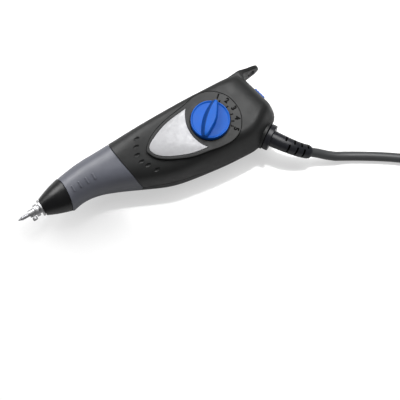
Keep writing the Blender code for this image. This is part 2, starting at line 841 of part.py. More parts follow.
def relief_point(along, aside):
    """X and Y of a place along the strain relief's axis and to its side."""
    angle = math.radians(RELIEF_ANGLE)
    x = RELIEF_X + along * math.cos(angle) - aside * math.sin(angle)
    return x, RELIEF_Y + along * math.sin(angle) + aside * math.cos(angle)


# Nose


def sleeve(finish, pen):
    """The grip sleeve with its short ribs on the dial side."""
    gap = GAP / FORM_LENGTH
    over = OVERRUN / FORM_LENGTH
    body = add("grip_sleeve", form(0, JOINT_share - gap, SLEEVE_STEPS), finish, pen)
    y = RIB_SIDE_share * FORM_DEPTH
    for number, share in enumerate(RIB_shares, 1):
        x = SLEEVE_FRONT_X + share * FORM_LENGTH
        high = form_height(x, y)
        low = (x - RIB_WIDTH / 2, y - RIB_LENGTH / 2, high - WALL)
        rib = block(low, (x + RIB_WIDTH / 2, y + RIB_LENGTH / 2, high + RIB_PROUD))
        combine(body, "UNION", add(f"rib_{number}", rib, None, pen))
    hollow = form(-over, JOINT_share + over, SLEEVE_STEPS, WALL)
    combine(body, "DIFFERENCE", add("sleeve_hollow", hollow, None, pen))
    return body


def nose(finishes, pen):
    axis = (0, CONE_AXIS_Y, HALF_THICKNESS)
    rear = SLEEVE_FRONT_X - GAP
    profile = []
    for step in range(CONE_STEPS + 1):
        share = step / CONE_STEPS
        radius = CONE_FRONT_RADIUS + share * (CONE_REAR_RADIUS - CONE_FRONT_RADIUS)
        swell = CONE_SWELL * math.sin(math.pi * share)
        profile.append((CONE_FRONT_X + share * (rear - CONE_FRONT_X), radius + swell))
    front = smooth_row(FORM_shares, 0)
    spigot = min(front[1] * FORM_DEPTH, front[3] * HALF_THICKNESS) - WALL - 2 * GAP
    bush_front = CONE_FRONT_X + RING_TUBE + 2 * SEAT_WIDTH / 2
    profile += [
        (rear, spigot),
        (rear + SPIGOT_LENGTH, spigot),
        (rear + SPIGOT_LENGTH, BUSH_RADIUS + GAP),
        (bush_front, BUSH_RADIUS + GAP),
        (bush_front, CONE_BORE_RADIUS),
        (CONE_FRONT_X, CONE_BORE_RADIUS),
    ]
    add("nose_cone", turned(profile), finishes["gloss"], pen, axis)
    back = CONE_FRONT_X - GAP
    tube = CONE_BORE_RADIUS - GAP
    bore = ROD_RADIUS + 2 * GAP
    profile = [
        (back - RING_FLANGE, bore),
        (back - RING_FLANGE, CONE_FRONT_RADIUS - GAP - RING_FLANGE / 4),
        (back - RING_FLANGE * 3 / 4, CONE_FRONT_RADIUS - GAP),
        (back, CONE_FRONT_RADIUS - GAP),
        (back, tube),
        (back + RING_TUBE, tube),
        (back + RING_TUBE, bore),
    ]
    add("nose_ring", turned(profile), finishes["chrome"], pen, (0, 0, HALF_THICKNESS))
    start = bush_front + GAP
    bush = ring(start, start + BUSH_LENGTH, BUSH_RADIUS, ROD_RADIUS + GAP)
    add("front_bush", bush, finishes["brass"], pen, (0, 0, HALF_THICKNESS))
    return start + BUSH_LENGTH


def plunger(finishes, pen, bush_end):
    """The striking rod with its shoulder, armature and nut, and what it carries."""
    axis = empty("plunger_axis", pen, (0, 0, HALF_THICKNESS))
    end = ARMATURE_X + ARMATURE_LENGTH - GAP
    profile = [
        (ROD_FRONT_X, 0),
        (ROD_FRONT_X, ROD_FRONT_RADIUS),
        (ROD_HEAD_X, ROD_FRONT_RADIUS),
        (ROD_HEAD_X, ROD_HEAD_RADIUS),
        (ROD_HEAD_X + ROD_HEAD_LENGTH, ROD_HEAD_RADIUS),
        (ROD_HEAD_X + ROD_HEAD_LENGTH, ROD_RADIUS),
        (SHOULDER_X, ROD_RADIUS),
        (SHOULDER_X, SHOULDER_RADIUS),
        (SHOULDER_X + SHOULDER_LENGTH, SHOULDER_RADIUS),
        (SHOULDER_X + SHOULDER_LENGTH, ROD_RADIUS),
        (ARMATURE_X - GAP, ROD_RADIUS),
        (ARMATURE_X - GAP, ROD_END_RADIUS),
        (end, ROD_END_RADIUS),
        (end, 0),
    ]
    striker = add("chuck_rod", turned(profile), finishes["steel"], axis)
    socket = rod(-OVERRUN, POINT_LENGTH + GAP, POINT_RADIUS + GAP, TURN_STEPS // 2)
    cross = rod(0, FAR, CLAMP_SCREW_RADIUS + GAP, TURN_STEPS // 2)
    place = (CLAMP_SCREW_X, 0, 0)
    combine(striker, "DIFFERENCE", add("socket", socket, None, axis))
    crossing = add("cross_hole", cross, None, axis, place, (0, 0, math.radians(-90)))
    combine(striker, "DIFFERENCE", crossing)

    point = [
        (0, 0),
        (0, POINT_FLAT),
        (POINT_CONE, POINT_RADIUS),
        (POINT_LENGTH, POINT_RADIUS),
        (POINT_LENGTH, 0),
    ]
    add("engraving_point", turned(point, TURN_STEPS // 2), finishes["carbide"], axis)

    inner = POINT_RADIUS + 2 * GAP
    screw = [
        (inner, 0),
        (inner, CLAMP_SCREW_RADIUS),
        (CLAMP_REACH, CLAMP_SCREW_RADIUS),
        (CLAMP_REACH, CLAMP_HEAD_RADIUS),
        (CLAMP_REACH + CLAMP_HEAD_LENGTH, CLAMP_HEAD_RADIUS),
        (CLAMP_REACH + CLAMP_HEAD_LENGTH, 0),
    ]
    screw_axis = (CLAMP_SCREW_X, 0, 0)
    turn = (0, 0, math.radians(-90))
    clamp = add("clamp_screw", turned(screw, TURN_STEPS // 2), finishes["steel"], axis, screw_axis, turn)
    slot = block(
        (CLAMP_REACH + CLAMP_HEAD_LENGTH - CLAMP_HEAD_LENGTH / 2, -FAR, -CLAMP_SCREW_RADIUS / 3),
        (FAR, FAR, CLAMP_SCREW_RADIUS / 3),
    )
    combine(clamp, "DIFFERENCE", add("clamp_slot", slot, None, axis, screw_axis, turn))

    half = CORE_DEPTH / 2
    low = HALF_THICKNESS - CORE_STACK / 2
    high = HALF_THICKNESS + CORE_STACK / 2 + ARMATURE_TALL
    plate = block(
        (ARMATURE_X, MAGNET_Y - half, low - HALF_THICKNESS),
        (ARMATURE_X + ARMATURE_LENGTH, MAGNET_Y + half, high - HALF_THICKNESS),
    )
    armature = add("armature_plate", plate, finishes["iron"], axis)
    hole = rod(ARMATURE_X - OVERRUN, ARMATURE_X + ARMATURE_LENGTH, ROD_END_RADIUS + GAP)
    recess = rod(end - NUT_LENGTH - GAP, end + FAR, NUT_RADIUS + GAP)
    combine(armature, "DIFFERENCE", add("armature_hole", hole, None, axis))
    combine(armature, "DIFFERENCE", add("nut_recess", recess, None, axis))
    nut_bore = (ROD_END_RADIUS + GAP) / math.cos(math.pi / NUT_SIDES)
    nut = ring(end - NUT_LENGTH, end, NUT_RADIUS, nut_bore, NUT_SIDES)
    nut = add("armature_nut", nut, finishes["steel"], axis)

    # Return spring, one tube that winds from the bush to the shoulder
    start = bush_end + GAP + SPRING_WIRE / 2
    reach = SHOULDER_X - GAP - SPRING_WIRE / 2 - start
    count = SPRING_TURNS * SPRING_TURN_POINTS
    path = []
    for step in range(count + 1):
        angle = math.tau * step / SPRING_TURN_POINTS
        x = start + reach * step / count
        path.append((x, SPRING_RADIUS * math.cos(angle), SPRING_RADIUS * math.sin(angle)))
    tube("return_spring", path, SPRING_WIRE / 2, finishes["steel"], axis, 1)
    return axis


def tube(name, path, radius, finish, parent, resolution=2):
    """A round tube along a path, with its ends filled."""
    curve = bpy.data.curves.new(name, "CURVE")
    curve.dimensions = "3D"
    curve.bevel_depth = radius
    curve.bevel_resolution = resolution
    curve.use_fill_caps = True
    line = curve.splines.new("POLY")
    line.points.add(len(path) - 1)
    for point, place in zip(line.points, path):
        point.co = (*place, 1)
    curve.materials.append(finish)
    piece = bpy.data.objects.new(name, curve)
    bpy.context.scene.collection.objects.link(piece)
    piece.parent = parent
    return piece


# Magnet


def magnet(finishes, pen):
    """E-shaped core, and on its middle leg the bobbin with the winding."""
    front = core_front()
    rear = front + CORE_LENGTH
    low = HALF_THICKNESS - CORE_STACK / 2
    high = HALF_THICKNESS + CORE_STACK / 2
    half = CORE_DEPTH / 2
    core = block((front, MAGNET_Y - half, low), (rear, MAGNET_Y + half, high))
    core = add("magnet_core", core, finishes["iron"], pen)
    for number, side in enumerate((-1, 1), 1):
        near = MAGNET_Y + side * CORE_MIDDLE / 2
        far = MAGNET_Y + side * (half - CORE_LEG)
        window = block(
            (front - OVERRUN, min(near, far), low - OVERRUN),
            (rear - CORE_YOKE, max(near, far), high + OVERRUN),
        )
        combine(core, "DIFFERENCE", add(f"window_{number}", window, None, pen))

    # Around the middle leg: across it in Y, and along the stack in Z
    leg_y = CORE_MIDDLE / 2 + GAP
    leg_z = CORE_STACK / 2 + GAP
    room = half - CORE_LEG - GAP
    over = room - CORE_MIDDLE / 2
    start = front + GAP
    end = rear - CORE_YOKE - GAP

    def around(x0, x1, y, z):
        return block(
            (x0, MAGNET_Y - y, HALF_THICKNESS - z),
            (x1, MAGNET_Y + y, HALF_THICKNESS + z),
        )

    high_room = CORE_STACK / 2 + GAP + BOBBIN_WALL
    bobbin = add("coil_bobbin", around(start, end, room, high_room), finishes["nylon"], pen)
    neck_y = leg_y + BOBBIN_WALL
    waist = around(start + BOBBIN_FLANGE, end - BOBBIN_FLANGE, room + OVERRUN, high_room + OVERRUN)
    waist = add("bobbin_waist", waist, None, pen)
    kept = around(start, end, neck_y, high_room + 2 * OVERRUN)
    combine(waist, "DIFFERENCE", add("bobbin_neck", kept, None, pen))
    combine(bobbin, "DIFFERENCE", waist)
    hole = around(start - OVERRUN, end + OVERRUN, leg_y, leg_z)
    combine(bobbin, "DIFFERENCE", add("bobbin_hole", hole, None, pen))
    x0 = start + BOBBIN_FLANGE + GAP
    x1 = end - BOBBIN_FLANGE - GAP
    depth = high_room + over - BOBBIN_WALL
    winding = add("coil_winding", around(x0, x1, room - GAP / 2, depth), finishes["copper"], pen)
    space = around(x0 - OVERRUN, x1 + OVERRUN, neck_y + GAP, high_room + GAP)
    combine(winding, "DIFFERENCE", add("winding_hole", space, None, pen))


# Stroke dial


def ridge_outline():
    """The dial's grip ridge from above: two bowed flanks that meet in points."""
    reach = DIAL_RADIUS - DIAL_CROWN
    flanks = []
    for side in (1, -1):
        for step in range(RIDGE_STEPS):
            share = -1 + 2 * step / RIDGE_STEPS
            bow = RIDGE_BOW + side * RIDGE_WIDTH / 2
            flanks.append((side * share * reach, (1 - share * share) * bow))
    return flanks


def dial(finishes, pen):
    """Knob, cam and cam screw, turning about the dial's own empty."""
    face = 2 * HALF_THICKNESS + PANEL_PROUD
    bottom = face - DIAL_SEAT + GAP
    axis = empty("dial_axis", pen, (DIAL_X, DIAL_Y, bottom))
    upright_turn = (0, math.radians(-90), 0)
    profile = [
        (-STEM_LENGTH, 0),
        (-STEM_LENGTH, STEM_RADIUS),
        (0, STEM_RADIUS),
        (0, DIAL_RADIUS),
        (DIAL_THICKNESS - DIAL_CROWN, DIAL_RADIUS),
        (DIAL_THICKNESS, DIAL_RADIUS - DIAL_CROWN),
        (DIAL_THICKNESS, 0),
    ]
    knob = add("stroke_dial", turned(profile, 40), finishes["blue"], axis, (0, 0, 0), upright_turn)
    ridge = prism(ridge_outline(), DIAL_THICKNESS - OVERRUN, DIAL_THICKNESS + RIDGE_RISE)
    ridge = add("ridge", ridge, None, axis, (0, 0, 0), (0, 0, math.radians(RIDGE_REST)))
    combine(knob, "UNION", ridge)
    pilot = rod(-STEM_LENGTH - OVERRUN, -DIAL_SEAT, SCREW_RADIUS + GAP, TURN_STEPS // 2)
    combine(knob, "DIFFERENCE", add("dial_pilot", pilot, None, axis, (0, 0, 0), upright_turn))

    # Cam: its spiral loses CAM_THROW over the dial's quarter turn on the bar's side
    top = 2 * HALF_THICKNESS - BOSS_DEPTH - GAP - bottom
    rim = []
    for step in range(CAM_STEPS):
        angle = 360 * step / CAM_STEPS
        late = (angle - 180 + CAM_LEAD) % 360
        share = min(1.0, late / (90 + 2 * CAM_LEAD))
        back = max(0.0, (late - 90 - 2 * CAM_LEAD) / (270 - 2 * CAM_LEAD))
        fall = CAM_THROW * (90 + 2 * CAM_LEAD) / 90 * (share - back)
        radius = CAM_RADIUS - fall
        rim.append((radius * math.cos(math.radians(angle)), radius * math.sin(math.radians(angle))))
    cam = add("stroke_cam", prism(rim, top - CAM_HEIGHT, top), finishes["nylon"], axis)
    socket = rod(-STEM_LENGTH - GAP, FAR, STEM_RADIUS + GAP)
    through = rod(-FAR, FAR, SCREW_RADIUS + GAP, TURN_STEPS // 2)
    combine(cam, "DIFFERENCE", add("cam_socket", socket, None, axis, (0, 0, 0), upright_turn))
    combine(cam, "DIFFERENCE", add("cam_through", through, None, axis, (0, 0, 0), upright_turn))
    screw = [
        (-DIAL_SEAT * 2, 0),
        (-DIAL_SEAT * 2, SCREW_RADIUS),
        (top - CAM_HEIGHT - GAP, SCREW_RADIUS),
        (top - CAM_HEIGHT - GAP, SCREW_HEAD_RADIUS),
        (top - CAM_HEIGHT - GAP - SCREW_HEAD_LENGTH, SCREW_HEAD_RADIUS),
        (top - CAM_HEIGHT - GAP - SCREW_HEAD_LENGTH, 0),
    ]
    add("cam_screw", turned(screw, TURN_STEPS // 2), finishes["steel"], axis, (0, 0, 0), upright_turn)

    # Bar that the cam sets: it stops the armature's travel towards the magnet
    front = ARMATURE_X + ARMATURE_LENGTH + STROKE + RUN
    rear = DIAL_X - CAM_RADIUS - RUN
    bar = block(
        (front, bar_y() - BAR_WIDTH / 2, bar_floor()),
        (rear, bar_y() + BAR_WIDTH / 2, bar_floor() + BAR_HEIGHT),
    )
    add("stroke_bar", bar, finishes["nylon"], pen)


# Switch


def switch(finishes, frame):
    """Its body stands inside the rear wall and its slider shows through the slot."""
    half = SLIDER_LENGTH / 2
    middle = SWITCH_TRAVEL / 2
    lap = SLIDER_LAP + GAP
    slider_axis = empty("slider_axis", frame, (0, middle, 0))
    back = -WALL - GAP
    side = SLIDER_WIDTH / 2
    cap = block((back - SLIDER_FLANGE / 2, -half, -side), (SLIDER_PROUD, half, side))
    slider = add("switch_slider", cap, finishes["blue"], slider_axis)
    flange = block(
        (back - SLIDER_FLANGE, -half - lap, -SLIDER_WIDTH / 2 - lap),
        (back, half + lap, SLIDER_WIDTH / 2 + lap),
    )
    combine(slider, "UNION", add("slider_flange", flange, None, slider_axis))
    front = switch_depth()
    body = block(
        (front - SWITCH_DEPTH, -SWITCH_LENGTH / 2, -SWITCH_WIDTH / 2),
        (front, SWITCH_LENGTH / 2, SWITCH_WIDTH / 2),
    )
    add("switch_body", body, finishes["nylon"], frame)


# Fastenings


def shell_screws(finish, pen):
    for number, (x, y) in enumerate(screw_places(), 1):
        profile = [
            (-SCREW_HEAD_LENGTH, 0),
            (-SCREW_HEAD_LENGTH, SCREW_HEAD_RADIUS),
            (0, SCREW_HEAD_RADIUS),
            (0, SCREW_RADIUS),
            (SCREW_LENGTH - GAP, SCREW_RADIUS),
            (SCREW_LENGTH - GAP, 0),
        ]
        place = (x, y, SCREW_SEAT - GAP)
        turn = (0, math.radians(-90), 0)
        screw = add(f"shell_screw_{number}", turned(profile, TURN_STEPS // 2), finish, pen, place, turn)
        floor = SLOT_DEPTH - SCREW_HEAD_LENGTH
        slot = block((-FAR, -FAR, -SLOT_WIDTH / 2), (floor, FAR, SLOT_WIDTH / 2))
        combine(screw, "DIFFERENCE", add(f"screw_slot_{number}", slot, None, pen, place, turn))


# Strain relief and cord clamp


def relief_path():
    """Centre line of the boot: straight at its root, bending over and down."""
    path = [Vector((0, 0, 0))]
    step = RELIEF_LENGTH / RELIEF_STEPS
    for number in range(RELIEF_STEPS):
        share = (number + 0.5) / RELIEF_STEPS
        side = math.radians(RELIEF_BEND) * share**RELIEF_EASE
        down = math.radians(RELIEF_DROP) * min(1.0, RELIEF_EARLY * share) ** RELIEF_EASE
        level = math.cos(down)
        ahead = Vector((math.cos(side) * level, math.sin(side) * level, -math.sin(down)))
        path.append(path[-1] + ahead * step)
    return path


def swept(path, radii, sides):
    """Round rings of changing radius along a path, as one closed skin."""
    rings = []
    for index, centre in enumerate(path):
        ahead = path[min(index + 1, len(path) - 1)] - path[max(index - 1, 0)]
        ahead.normalize()
        aside = Vector((0, 0, 1)).cross(ahead).normalized()
        up = ahead.cross(aside)
        rings.append(
            [
                centre + (aside * math.cos(a) + up * math.sin(a)) * radii[index]
                for a in (math.tau * side / sides for side in range(sides))
            ]
        )
    return lofted(rings)


def strain_relief(finish, frame):
    """Flange outside, neck through the pad, inner flange, and the tapered boot."""
    back = -RELIEF_PAD - GAP
    profile = [
        (back - RELIEF_INNER_LENGTH, 0),
        (back - RELIEF_INNER_LENGTH, RELIEF_INNER_RADIUS),
        (back, RELIEF_INNER_RADIUS),
        (back, RELIEF_NECK_RADIUS),
        (GAP, RELIEF_NECK_RADIUS),
        (GAP, RELIEF_FLANGE_RADIUS),
        (RELIEF_FLANGE_LENGTH - RELIEF_PAD_EDGE, RELIEF_FLANGE_RADIUS),
        (RELIEF_FLANGE_LENGTH, RELIEF_FLANGE_RADIUS - RELIEF_PAD_EDGE),
        (RELIEF_FLANGE_LENGTH, 0),
    ]
    body = add("strain_relief", turned(profile), finish, frame)
    path = relief_path()
    start = Vector((RELIEF_FLANGE_LENGTH - RELIEF_PAD_EDGE, 0, 0))
    spread = RELIEF_ROOT_RADIUS - RELIEF_END_RADIUS
    count = len(path) - 1
    shares = [(index / count) ** RELIEF_TAPER for index in range(count + 1)]
    radii = [RELIEF_ROOT_RADIUS - spread * share for share in shares]
    boot = swept([start + point for point in path], radii, RELIEF_SIDES)
    combine(body, "UNION", add("boot", boot, None, frame))


def boot_end():
    """Where the cord leaves the boot, and its direction, in the relief's frame."""
    path = relief_path()
    ahead = (path[-1] - path[-2]).normalized()
    start = Vector((RELIEF_FLANGE_LENGTH - RELIEF_PAD_EDGE, 0, 0))
    return start + path[-1] + ahead * GAP, ahead


def cord_clamp(finishes, pen):
    """A bar that presses the cord's inner end down between two posts."""
    angle = math.radians(RELIEF_ANGLE)
    x, y = relief_point(clamp_along(), 0)
    frame = empty("clamp_frame", pen, (x, y, HALF_THICKNESS), (0, 0, angle))
    half = CLAMP_HALF_WIDTH + CLAMP_POST
    low = 0
    bar = block((-CLAMP_LENGTH / 2, -half, low), (CLAMP_LENGTH / 2, half, CORD_RADIUS + CLAMP_THICKNESS))
    bar = add("cord_clamp", bar, finishes["nylon"], frame)
    groove = rod(-FAR, FAR, CORD_RADIUS + GAP, TURN_STEPS // 2)
    combine(bar, "DIFFERENCE", add("clamp_groove", groove, None, frame))
    top = CORD_RADIUS + CLAMP_THICKNESS
    for number, side in enumerate((-1, 1), 1):
        hole = rod(-OVERRUN, top + OVERRUN, SCREW_RADIUS + GAP, TURN_STEPS // 2)
        hole = upright(hole, (0, side * CLAMP_HALF_WIDTH, 0))
        combine(bar, "DIFFERENCE", add(f"clamp_hole_{number}", hole, None, frame))
        profile = [
            (-CLAMP_SCREW_DEPTH, 0),
            (-CLAMP_SCREW_DEPTH, SCREW_RADIUS),
            (top + GAP, SCREW_RADIUS),
            (top + GAP, SCREW_HEAD_RADIUS),
            (top + GAP + SCREW_HEAD_LENGTH, SCREW_HEAD_RADIUS),
            (top + GAP + SCREW_HEAD_LENGTH, 0),
        ]
        place = (0, side * CLAMP_HALF_WIDTH, 0)
        turn = (0, math.radians(-90), 0)
        screw = turned(profile, TURN_STEPS // 2)
        add(f"cord_clamp_screw_{number}", screw, finishes["steel"], frame, place, turn)
    start = -RELIEF_PAD - RELIEF_INNER_LENGTH - 2 * GAP - clamp_along()
    path = [(start, 0, 0), (0, 0, 0), (-CLAMP_LENGTH / 2 - CORD_RADIUS, 0, 0)]
    tube("inner_cord", path, CORD_RADIUS, finishes["cord"], frame, 2)


# Mains lead


def coil_path():
    """The coil's loops, spiralling in and out and climbing at each reversal."""
    total = COIL_TURNS * math.tau
    layer = total / COIL_LAYERS
    count = round(COIL_TURNS * COIL_POINTS)
    path = []
    for step in range(count + 1):
        angle = total * step / count
        phase = angle % (2 * layer)
        inward = layer - abs(phase - layer)
        radius = COIL_INNER_RADIUS + COIL_PITCH * (layer - inward) / math.tau
        climb = sum(
            min(1.0, max(0.0, (angle - number * layer) / math.pi + 0.5))
            for number in range(1, COIL_LAYERS)
        )
        turn = math.radians(COIL_START) + angle
        x = COIL_X + radius * math.cos(turn)
        y = COIL_Y + radius * math.sin(turn)
        path.append(Vector((x, y, CORD_BED + COIL_PITCH * climb)))
    return path


def least_gap(path, diameter, reach):
    """The smallest room between stretches of a tube that lie apart along it."""
    points = np.array(path)
    along = np.concatenate([[0], np.cumsum(np.linalg.norm(np.diff(points, axis=0), axis=1))])
    apart = np.abs(along[:, None] - along[None]) > reach
    distance = np.linalg.norm(points[:, None] - points[None], axis=2)
    return float(distance[apart].min() - diameter)


def straight_ends(path):
    """The path with a straight run of one tube diameter at each end."""
    first = (path[0] - path[1]).normalized() * 2 * CORD_RADIUS
    last = (path[-1] - path[-2]).normalized() * 2 * CORD_RADIUS
    return [path[0] + first, *path, path[-1] + last]


def spaced(path, spacing):
    """Points at even steps along a path."""
    points = np.array(path)
    along = np.concatenate([[0], np.cumsum(np.linalg.norm(np.diff(points, axis=0), axis=1))])
    count = max(2, round(along[-1] / spacing))
    places = np.linspace(0, along[-1], count + 1)
    return [Vector([np.interp(s, along, points[:, axis]) for axis in range(3)]) for s in places]


def lead(start, ahead, route, end, back):
    """A free stretch: it leaves one end and meets the other in their directions."""
    reach = 2 * CORD_RADIUS
    origin = Vector((RELIEF_X, RELIEF_Y, 0))
    places = [origin + Vector(place) for place in route]
    corners = [start, start + ahead * reach, *places, end + back * reach, end]
    middle = smooth_path(corners, ROUTE_PIECES)[ROUTE_PIECES:-ROUTE_PIECES]
    return [start, *spaced(middle, CORD_SPACING * reach), end]


def mains_lead(finishes, pen, relief):
    """Free stretch, tied coil, tail and plug."""
    coil = straight_ends(coil_path())
    print("cord: least gap in the coil %.5f m" % least_gap(coil, 2 * CORD_RADIUS, COIL_INNER_RADIUS))
    place, ahead = boot_end()
    turn = Matrix.Rotation(math.radians(RELIEF_ANGLE), 3, "Z")
    start = Vector((RELIEF_X, RELIEF_Y, HALF_THICKNESS)) + turn @ place
    into = (coil[1] - coil[0]).normalized()
    first = lead(start, turn @ ahead, CORD_route, coil[0] - into * GAP, -into)
    out = (coil[-1] - coil[-2]).normalized()
    plug_turn = math.radians(PLUG_ANGLE)
    plug_ahead = Vector((math.cos(plug_turn), math.sin(plug_turn), 0))
    plug = Vector((PLUG_X, PLUG_Y, PLUG_THICKNESS / 2))
    tail = lead(coil[-1] + out * GAP, out, TAIL_route, plug - plug_ahead * GAP, -plug_ahead)
    tube("power_cord", first, CORD_RADIUS, finishes["cord"], pen, 2)
    tube("cord_coil", coil, CORD_RADIUS, finishes["cord"], pen, 1)
    tube("cord_tail", tail, CORD_RADIUS, finishes["cord"], pen, 2)
    paths = (first, coil, tail)
    length = sum((b - a).length for path in paths for a, b in zip(path, path[1:]))
    print("cord: whole length %.4f m" % length)
    print("cord: leaves the boot at", [round(v, 5) for v in pen_place(pen, start)])

    # Tie round all the turns at one place
    low = CORD_BED - CORD_RADIUS
    high = CORD_BED + (COIL_LAYERS - 1) * COIL_PITCH + CORD_RADIUS + TIE_CLEARANCE
    inner = COIL_INNER_RADIUS - CORD_RADIUS - TIE_CLEARANCE
    outer = COIL_INNER_RADIUS + COIL_PITCH * COIL_TURNS / COIL_LAYERS + CORD_RADIUS + TIE_CLEARANCE
    angle = math.radians(TIE_ANGLE)
    frame = empty("tie_frame", pen, (COIL_X, COIL_Y, 0), (0, 0, angle))
    half = TIE_WIDTH / 2
    band = add(
        "cord_tie",
        block((inner - TIE_THICKNESS, -half, low), (outer + TIE_THICKNESS, half, high + TIE_THICKNESS)),
        finishes["nylon"],
        frame,
    )
    room = block((inner, -half - OVERRUN, -FAR), (outer, half + OVERRUN, high))
    combine(band, "DIFFERENCE", add("tie_room", room, None, frame))

    # Flat two-pin plug
    frame = empty("plug_frame", pen, plug, (0, 0, plug_turn))
    rings = []
    for share, wide, thick in PLUG_shares:
        half_y = PLUG_WIDTH / 2 * wide
        half_z = PLUG_THICKNESS / 2 * thick
        edge = min(PLUG_EDGE, half_z / 2)
        outline = (
            (half_y - edge, half_z),
            (half_y, half_z - edge),
            (half_y, edge - half_z),
            (half_y - edge, -half_z),
            (edge - half_y, -half_z),
            (-half_y, edge - half_z),
            (-half_y, half_z - edge),
            (edge - half_y, half_z),
        )
        rings.append([(share * PLUG_LENGTH, y, z) for y, z in outline])
    body = add("plug_body", lofted(rings), finishes["cord"], frame)
    for number, side in enumerate((-1, 1), 1):
        place = (PLUG_LENGTH, side * PLUG_PIN_SPREAD / 2, 0)
        socket = rod(-PLUG_PIN_SEAT, FAR, PLUG_PIN_RADIUS + GAP, TURN_STEPS // 2)
        combine(body, "DIFFERENCE", add(f"pin_socket_{number}", socket, None, frame, place))
        tip = PLUG_PIN_LENGTH - PLUG_PIN_RADIUS / 2
        profile = [
            (GAP - PLUG_PIN_SEAT, 0),
            (GAP - PLUG_PIN_SEAT, PLUG_PIN_RADIUS),
            (tip, PLUG_PIN_RADIUS),
            (PLUG_PIN_LENGTH, PLUG_PIN_RADIUS / 2),
            (PLUG_PIN_LENGTH, 0),
        ]
        add(f"plug_pin_{number}", turned(profile, TURN_STEPS // 2), finishes["chrome"], frame, place)


def pen_place(pen, place):
    return tuple(Vector(place) + pen.location)


# The whole pen


def finishes_of_the_pen():
    return {
        "shell": material("shell", (0.030, 0.032, 0.035), 0.45),
        "grip": material("grip", (0.110, 0.118, 0.150), 0.50),
        "gloss": material("nose", (0.008, 0.008, 0.009), 0.15),
        "blue": material("dial_blue", (0.010, 0.090, 0.550), 0.35),
        "plate": material("name_plate", (0.780, 0.780, 0.790), 0.30, 0.8),
        "chrome": material("chrome", (0.800, 0.800, 0.810), 0.10, 1.0),
        "steel": material("steel", (0.560, 0.560, 0.570), 0.25, 1.0),
        "carbide": material("carbide", (0.420, 0.420, 0.440), 0.20, 1.0),
        "brass": material("bronze", (0.600, 0.420, 0.180), 0.30, 1.0),
        "iron": material("core_iron", (0.260, 0.260, 0.270), 0.50, 0.9),
        "copper": material("copper", (0.720, 0.300, 0.130), 0.35, 1.0),
        "nylon": material("nylon", (0.060, 0.060, 0.065), 0.50),
        "boot": material("boot_rubber", (0.012, 0.013, 0.017), 0.40),
        "cord": material("cord_rubber", (0.030, 0.031, 0.033), 0.45),
    }


CORD_pieces = (
    "power_cord",
    "cord_coil",
    "cord_tail",
    "cord_tie",
    "plug_body",
    "plug_pin_1",
    "plug_pin_2",
)


def stand_over_origin(pen):
    """Move the pen so that its box, without the lead, stands over the origin."""
    bpy.context.view_layer.update()
    graph = bpy.context.evaluated_depsgraph_get()
    corners = []
    for piece in bpy.context.scene.objects:
        if piece.type == "EMPTY" or piece.hide_render or piece.name in CORD_pieces:
            continue
        mesh = piece.evaluated_get(graph).to_mesh()
        corners += [piece.matrix_world @ vertex.co for vertex in mesh.vertices]
        piece.evaluated_get(graph).to_mesh_clear()
    box = np.array(corners)
    low, high = box.min(axis=0), box.max(axis=0)
    middle = (low + high) / 2
    pen.location = (-middle[0], -middle[1], -low[2])
    print("pen frame stands at", [round(v, 6) for v in pen.location])
    print("pen box without the lead", [round(v, 5) for v in high - low])


def main():
    for piece in list(bpy.data.objects):
        bpy.data.objects.remove(piece)
    pen = empty("pen")
    finishes = finishes_of_the_pen()
    relief = relief_frame(pen)
    slot = switch_frame(pen)
    tools = shell_tools(pen, relief, slot)
    shell("dial_side_shell", 1, finishes["shell"], pen, tools)
    shell("back_shell", -1, finishes["shell"], pen, tools)
    plate = prism(plate_outline(), 0, PLATE_THICKNESS)
    place = (0, 0, 2 * HALF_THICKNESS + PANEL_PROUD - PLATE_SEAT + GAP)
    add("name_plate", plate, finishes["plate"], pen, place)
    sleeve(finishes["grip"], pen)
    bush_end = nose(finishes, pen)
    plunger(finishes, pen, bush_end)
    magnet(finishes, pen)
    dial(finishes, pen)
    switch(finishes, slot)
    shell_screws(finishes["steel"], pen)
    strain_relief(finishes["boot"], relief)
    cord_clamp(finishes, pen)
    stand_over_origin(pen)
    mains_lead(finishes, pen, relief)


main()
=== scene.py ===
"""Looks of an electric engraving pen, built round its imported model.

The pen lies on its back half with the dial up. Places are drawn in the pen's own
frame: the point's tip at zero, the nose axis along X and HALF_THICKNESS above the
surface, +Y towards the spine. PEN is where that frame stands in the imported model.
"""

import math

import bmesh
import bpy
import numpy as np
from mathutils import Matrix, Vector


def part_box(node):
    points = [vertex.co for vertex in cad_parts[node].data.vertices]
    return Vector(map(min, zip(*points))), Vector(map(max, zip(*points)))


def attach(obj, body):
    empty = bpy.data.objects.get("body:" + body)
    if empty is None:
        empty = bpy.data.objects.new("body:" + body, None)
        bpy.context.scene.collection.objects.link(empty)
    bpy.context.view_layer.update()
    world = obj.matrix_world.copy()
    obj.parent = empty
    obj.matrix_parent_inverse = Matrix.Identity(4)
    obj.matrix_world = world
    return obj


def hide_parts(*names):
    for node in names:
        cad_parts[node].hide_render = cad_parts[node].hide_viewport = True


bl_info = {
    "name": "Engraving pen",
    "version": (1, 0, 0),
    "blender": (4, 5, 0),
    "location": "3D View > Sidebar > Engraver",
    "description": "Housing, dial, nose, boot and mains lead of an engraving pen",
    "category": "Add Mesh",
}

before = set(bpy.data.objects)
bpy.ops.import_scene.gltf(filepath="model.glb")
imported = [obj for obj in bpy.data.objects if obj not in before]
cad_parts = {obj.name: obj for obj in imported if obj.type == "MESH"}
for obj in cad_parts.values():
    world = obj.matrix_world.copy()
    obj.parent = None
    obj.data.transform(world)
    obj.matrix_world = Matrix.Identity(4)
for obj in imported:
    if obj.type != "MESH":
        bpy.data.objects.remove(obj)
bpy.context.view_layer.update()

tip_low, tip_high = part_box("engraving_point")
PEN = Vector((tip_low.x, (tip_low.y + tip_high.y) / 2, 0))

